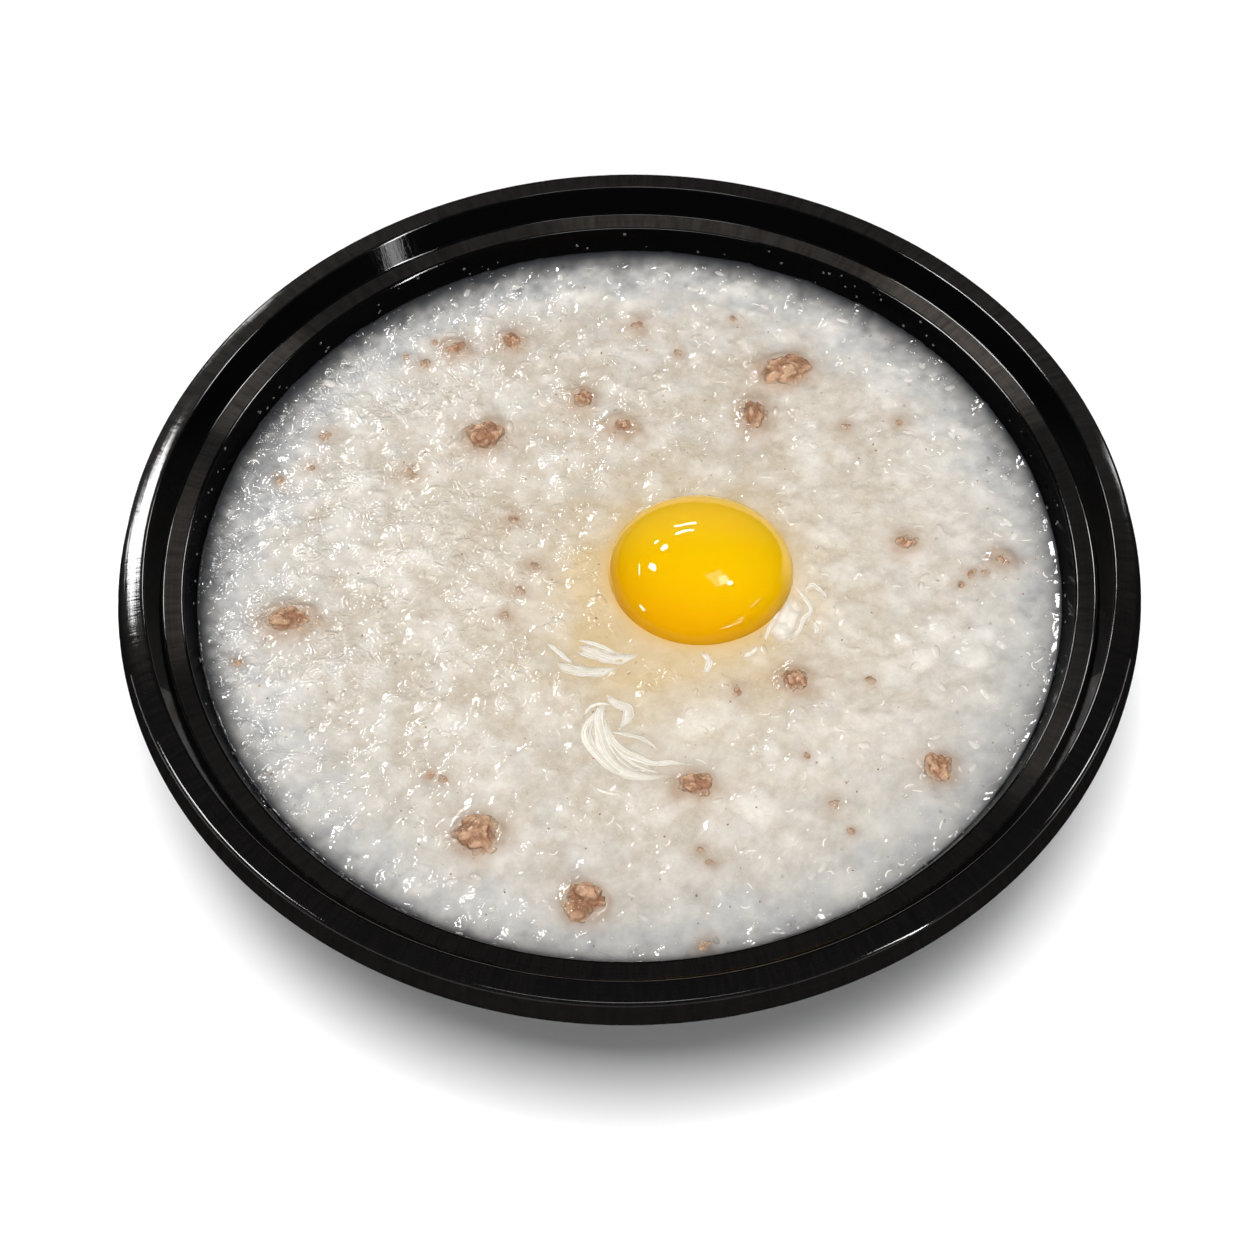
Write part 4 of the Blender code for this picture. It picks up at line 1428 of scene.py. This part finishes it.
class MakePorkBits(bpy.types.Operator):
    """Scatter the small bits and specks of pork"""

    bl_idname = "congee.make_pork_bits"
    bl_label = "Pork bits"

    def execute(self, context):
        finish = minced_pork("minced_pork_bits")
        depth = context.scene.pork_settings.nodules
        parts = []
        for k, (x, y, size) in enumerate(PORK_BITS):
            unit, faces = ball(20, 30)
            reach, crease = crumb_shape(unit, 40 + k, depth)
            shape = unit * reach[:, None] * (size * 0.56 * MM * np.array([1.0, 0.85, 0.6]))
            c, s = math.cos(k * 1.9), math.sin(k * 1.9)
            shape[:, :2] = shape[:, :2] @ np.array([[c, s], [-s, c]])
            ground = surface_height(np.array([x * MM]), np.array([y * MM]))[0]
            points = shape + (x * MM, y * MM, ground + 0.3 * MM - shape[:, 2].max())
            above = points[:, 2] - surface_height(points[:, 0], points[:, 1])
            veil = 1 - ease((above / MM + 0.25 + 0.4 * lattice_noise(points / (0.9 * MM), 67)) / 1.0)
            # The third part is painted shade in the creases of each bit.
            parts.append((points, faces, ease((crease - 0.1) / 0.5), 0.1 + 0.7 * veil))
        points, faces, pit, veil = join_parts(parts)
        add_piece("pork_bits", points, faces, finish, masks={"pit": pit, "veil": veil})

        rng = np.random.default_rng(71)
        count = context.scene.pork_settings.specks
        x, y = disc_places(count, 78 * MM, rng)
        unit, faces = ball(3, 6)
        size = rng.uniform(0.10, 0.30, count)[:, None] * MM * np.array([1.0, 0.7, 0.5])
        places = np.stack([x, y, surface_height(x, y) + 0.02 * MM], axis=1)
        points, faces = scatter(unit, faces, places, size, rng.uniform(0, math.pi, count))
        # Each speck's own dark tone, at random.
        pit = np.repeat(rng.uniform(0.3, 1.0, count), len(unit))
        masks = {"pit": pit, "veil": np.full(len(points), 0.25)}
        add_piece("pork_specks", points, faces, finish, masks=masks)
        return {"FINISHED"}


class MakeRice(bpy.types.Operator):
    """Scatter softened grains, short curled shreds of rice that also stand for painted glints, and tiny white
    crumbs of rice
    """

    bl_idname = "congee.make_rice"
    bl_label = "Rice grains"

    def execute(self, context):
        congee = context.scene.congee_settings
        finish = cloudy_rice("rice_grains", 0.10 * MM)
        rng = np.random.default_rng(73)
        for name, count, long_side, sink, rings, sides, cloud in (
            ("rice_grains", congee.loose_grains, (0.8, 1.9), 0.74, 7, 12, 0.08),
            ("rice_crumbs", congee.rice_crumbs, (0.06, 0.16), 0.20, 3, 6, 1.0),
        ):
            x, y = open_places(count, rng)
            unit, faces = ball(rings, sides)
            unit = unit * (1 + 0.14 * lattice_noise(unit * 1.6, 83))[:, None]
            long_half = rng.uniform(*long_side, len(x)) * MM
            shares = [np.ones(len(x)), rng.uniform(0.45, 0.7, len(x)), rng.uniform(0.35, 0.5, len(x))]
            size = long_half[:, None] * np.stack(shares, axis=1)
            places = np.stack([x, y, surface_height(x, y) - size[:, 2] * sink], axis=1)
            tilts = rng.uniform(-0.3, 0.3, len(x))
            turns = rng.uniform(0, 6.3, len(x))
            points, faces = scatter(unit, faces, places, size, turns, tilts)
            masks = surface_masks(points[:, 0], points[:, 1])
            masks["cloud"] = np.clip(masks["cloud"] + cloud, 0, 1)
            edge = np.clip(wall_radius(congee.level) - np.hypot(points[:, 0], points[:, 1]), 0, None)
            # The same dark margin of shallows and painted shade, on the grains by the wall.
            masks["shallow"] = 0.7 * np.exp(-((edge / (4 * MM)) ** 2))
            add_piece(name, points, faces, finish, masks=masks)

        # Short white shreds of rice, curled, which also stand for painted glints.
        parts = []
        x, y = open_places(congee.rice_shreds, rng)
        for middle_x, middle_y in zip(x, y):
            span = rng.uniform(0.5, 1.4) * MM
            bend, turn = rng.uniform(-1.3, 1.3), rng.uniform(0, TURN)
            t = np.linspace(-1, 1, 9)
            heading = turn + bend * t
            path = np.stack([np.cos(heading), np.sin(heading)], axis=1).cumsum(axis=0) * span * 2 / 9
            path += (middle_x, middle_y) - path[4]
            belly = np.sqrt(1.02 - t * t)
            thick = rng.uniform(0.10, 0.17) * MM
            parts.append(strand(path, thick * belly, 0.8 * thick * belly, sides=6))
        points, faces, normals = join_parts(parts)
        masks = surface_masks(points[:, 0], points[:, 1])
        masks["cloud"] = np.ones(len(points))
        add_piece("rice_shreds", points, faces, finish, masks=masks, normals=normals)
        return {"FINISHED"}


# How much foam lies along the waterline, its white beads also standing for painted glints, as (degrees round
# from +X, share).
WATERLINE_FOAM_AND_GLINTS = [
    (-180, 0.5), (-120, 0.4), (-60, 0.2), (-10, 0.5), (10, 1), (60, 1), (80, 0.3), (150, 0.6), (180, 0.5),
]


class MakeBubbles(bpy.types.Operator):
    """Add small bubbles on the congee and drops on the wall"""

    bl_idname = "congee.make_bubbles"
    bl_label = "Bubbles and drops"

    def execute(self, context):
        finish = clear_liquid()
        rng = np.random.default_rng(79)
        congee = context.scene.congee_settings
        unit, faces = ball(7, 12)
        angle = rng.uniform(0, TURN, 120)
        away = np.abs(rng.normal(0, 5, 120)) * MM
        radius = wall_radius(congee.level) - 0.8 * MM - away
        x, y = radius * np.cos(angle), radius * np.sin(angle)
        inner_x, inner_y = disc_places(60, 70 * MM, rng)
        x, y = np.append(x, inner_x), np.append(y, inner_y)
        size = rng.uniform(0.16, 0.42, len(x)) * MM
        size[:3] = 0.75 * MM
        places = np.stack([x, y, surface_height(x, y) + 0.1 * size], axis=1)
        points, all_faces = scatter(unit, faces, places, size[:, None], np.full(len(x), angle[0]))
        add_piece("bubbles", points, all_faces, finish)

        # White beads of foam in curved chains and along the waterline, which also stand for painted glints.
        x, y = open_places(26000, rng)
        chain = np.abs(flat_noise(x, y, 5 * MM, 97, layers=1)) < 0.022
        edge = wall_radius(congee.level) - np.hypot(x, y)
        foam_and_glints = np.interp(np.degrees(np.arctan2(y, x)), *np.transpose(WATERLINE_FOAM_AND_GLINTS))
        foam_and_glints *= 0.8 * np.exp(-edge / (1.0 * MM)) + 0.10 * (edge < 6 * MM)
        chain |= rng.uniform(0, 1, len(x)) < foam_and_glints
        x, y = x[chain], y[chain]
        size = rng.uniform(0.07, 0.17, len(x)) * MM
        bead, bead_faces = ball(3, 6)
        places = np.stack([x, y, surface_height(x, y) + 0.2 * size], axis=1)
        points, all_faces = scatter(bead, bead_faces, places, size[:, None], 0 * x)
        masks = surface_masks(points[:, 0], points[:, 1])
        masks["cloud"] = np.ones(len(points))
        foam_and_glint_finish = cloudy_rice("foam_beads", 0.0)
        add_piece("foam_beads", points, all_faces, foam_and_glint_finish, masks=masks)

        count = 110
        angle = rng.uniform(0, TURN, count)
        height = congee.level + rng.uniform(0.9, 4.6, count) * MM
        size = rng.uniform(0.12, 0.38, count) * MM
        radius = wall_radius(height) - 0.1 * size
        places = np.stack([radius * np.cos(angle), radius * np.sin(angle), height], axis=1)
        stretch = size[:, None] * np.array([0.6, 1.0, 1.0])
        points, all_faces = scatter(unit, faces, places, stretch, angle)
        add_piece("wall_drops", points, all_faces, finish)
        return {"FINISHED"}


# Lamps: (name, degrees from straight behind towards +X, elevation in degrees, width and height in
# degrees, brightness, what they light). Soft lamps light the colour of everything; the others only
# show as gleams, on the congee, the yolk or the bowl.
LAMPS = [
    ("key_box", 186.0, 78.0, 20.0, 20.0, 29.0, "soft"),
    ("front_wash", 190.0, 60.0, 50.0, 30.0, 0.7, "soft"),
    ("front_low", 184.0, 20.0, 70.0, 16.0, 2.6, "soft"),
    ("wet_back", -11.0, 41.0, 5.0, 2.4, 44.0, "congee"),
    ("wet_back_left", -29.0, 46.0, 7.0, 8.0, 48.0, "congee"),
    ("wet_left", -58.0, 50.0, 10.0, 8.0, 48.0, "congee"),
    ("wet_right", 112.0, 34.0, 12.0, 1.4, 30.0, "congee"),
    ("wet_overhead", 82.0, 69.0, 3.0, 3.0, 40.0, "congee"),
    ("overhead_box", 58.0, 76.0, 15.0, 10.0, 3.4, "yolk"),
    ("overhead_heart", 68.0, 73.0, 8.0, 6.0, 9.0, "yolk"),
    ("overhead_corner", 82.0, 69.0, 4.0, 3.4, 45.0, "yolk"),
    ("back_strip_low", -6.0, 37.6, 10.0, 1.5, 60.0, "yolk"),
    ("back_strip_high", -7.0, 44.6, 8.0, 1.2, 60.0, "yolk"),
    ("back_left_low", -30.0, 41.6, 2.6, 2.0, 45.0, "yolk"),
    ("back_left_high", -27.5, 50.8, 4.5, 3.0, 45.0, "yolk"),
    ("left_window", -57.0, 53.0, 4.0, 6.0, 50.0, "yolk"),
    ("left_strip", -66.0, 39.5, 10.0, 1.0, 35.0, "yolk"),
    ("right_strip", 112.0, 30.0, 13.0, 0.8, 25.0, "yolk"),
    ("low_right", 148.0, 14.0, 22.0, 1.2, 30.0, "yolk"),
    ("low_right_high", 138.0, 21.0, 7.0, 1.2, 25.0, "yolk"),
    ("low_left", -112.0, 15.0, 9.0, 2.4, 60.0, "yolk"),
    ("rim_back_left", -33.5, 46.0, 9.0, 7.0, 75.0, "bowl"),
    ("rim_left", -85.0, 52.0, 24.0, 11.0, 80.0, "bowl"),
    ("rim_far_left", -86.0, 38.0, 14.0, 5.0, 45.0, "bowl"),
    ("rim_key", 186.0, 76.0, 24.0, 7.0, 18.0, "bowl"),
    ("rim_right_tall", 131.0, 24.0, 3.4, 44.0, 100.0, "bowl"),
    ("rim_right", 76.0, 45.0, 9.0, 14.0, 60.0, "bowl"),
    ("rim_low_left", -29.0, 28.0, 12.0, 9.0, 50.0, "bowl"),
    ("rim_back_right", 44.0, 36.0, 14.0, 8.0, 55.0, "bowl"),
]
LAMP_DISTANCE = 3.0
LAMP_TARGET = Vector((0, 0, 40 * MM))
POWER_PER_BRIGHTNESS = math.pi
FLOOR_HALF = 4.0
SENSOR_WIDTH = 36.0


class MakeStage(bpy.types.Operator):
    """Set the floor, the lights and the camera"""

    bl_idname = "congee.make_stage"
    bl_label = "Stage"

    def execute(self, context):
        scene, stage = context.scene, context.scene.stage_settings
        corners = [(x * FLOOR_HALF, y * FLOOR_HALF, 0) for x, y in ((-1, -1), (1, -1), (1, 1), (-1, 1))]
        mesh = bpy.data.meshes.new("floor")
        mesh.from_pydata(corners, [], [(0, 1, 2, 3)])
        mesh.materials.append(pale_floor())
        floor = bpy.data.objects.new("floor", mesh)
        scene.collection.objects.link(floor)

        lit = {role: bpy.data.collections.new("lit_" + role) for role in ("congee", "yolk", "bowl")}
        for piece in scene.objects:
            if piece.type == "MESH":
                role = piece.name.split("_")[0]
                lit[role if role in lit else "congee"].objects.link(piece)

        for name, heading, rise, wide, tall, brightness, role in LAMPS:
            light = bpy.data.lights.new(name, "AREA")
            light.shape = "RECTANGLE"
            light.size, light.size_y = (
                2 * LAMP_DISTANCE * math.tan(math.radians(across / 2)) for across in (wide, tall)
            )
            area = light.size * light.size_y
            light.energy = brightness * stage.brightness * area * POWER_PER_BRIGHTNESS
            lamp = bpy.data.objects.new(name, light)
            lamp.visible_glossy = role != "soft"
            lamp.visible_diffuse = role == "soft"
            if role != "soft":
                lamp.light_linking.receiver_collection = lit[role]
            a, e = math.radians(heading), math.radians(rise)
            way = Vector((math.sin(a) * math.cos(e), math.cos(a) * math.cos(e), math.sin(e)))
            lamp.location = LAMP_TARGET + way * LAMP_DISTANCE
            lamp.rotation_euler = way.to_track_quat("Z", "Y").to_euler()
            scene.collection.objects.link(lamp)

        world = bpy.data.worlds.new("studio")
        world.use_nodes = True
        surroundings = world.node_tree.nodes["Background"]
        surroundings.inputs["Color"].default_value = (1.0, 1.0, 1.0, 1.0)
        surroundings.inputs["Strength"].default_value = stage.ambient
        scene.world = world

        lens = bpy.data.cameras.new("camera")
        lens.lens = stage.focal_length
        lens.sensor_width = SENSOR_WIDTH
        camera = bpy.data.objects.new("camera", lens)
        camera.location = (0.0, -stage.camera_distance, stage.camera_height)
        camera.rotation_euler = stage.camera_turn
        scene.collection.objects.link(camera)
        scene.camera = camera
        scene.view_settings.view_transform = "Standard"
        return {"FINISHED"}


class CongeePanel(bpy.types.Panel):
    """Lists the pieces of the bowl of congee."""

    bl_idname = "VIEW3D_PT_congee"
    bl_label = "Congee bowl"
    bl_space_type = "VIEW_3D"
    bl_region_type = "UI"
    bl_category = "Congee"

    def draw(self, context):
        for settings in SETTINGS:
            group = getattr(context.scene, settings)
            box = self.layout.box()
            for name in group.__annotations__:
                box.prop(group, name)
        for operator in OPERATORS:
            self.layout.operator(operator.bl_idname)


SETTINGS = {
    "bowl_settings": BowlSettings,
    "congee_settings": CongeeSettings,
    "egg_settings": EggSettings,
    "pork_settings": PorkSettings,
    "stage_settings": StageSettings,
}
OPERATORS = [
    MakeBowl,
    MakeCongee,
    MakeYolk,
    MakeEggWhite,
    MakePorkCrumbs,
    MakePorkBits,
    MakeRice,
    MakeBubbles,
    MakeStage,
]


def register():
    for name, settings in SETTINGS.items():
        bpy.utils.register_class(settings)
        setattr(bpy.types.Scene, name, PointerProperty(type=settings))
    for made in [*OPERATORS, CongeePanel]:
        bpy.utils.register_class(made)


def unregister():
    for made in [CongeePanel, *reversed(OPERATORS)]:
        bpy.utils.unregister_class(made)
    for name, settings in SETTINGS.items():
        delattr(bpy.types.Scene, name)
        bpy.utils.unregister_class(settings)


def main():
    register()
    for operator in OPERATORS:
        group, name = operator.bl_idname.split(".")
        getattr(getattr(bpy.ops, group), name)()


if __name__ == "__main__":
    main()
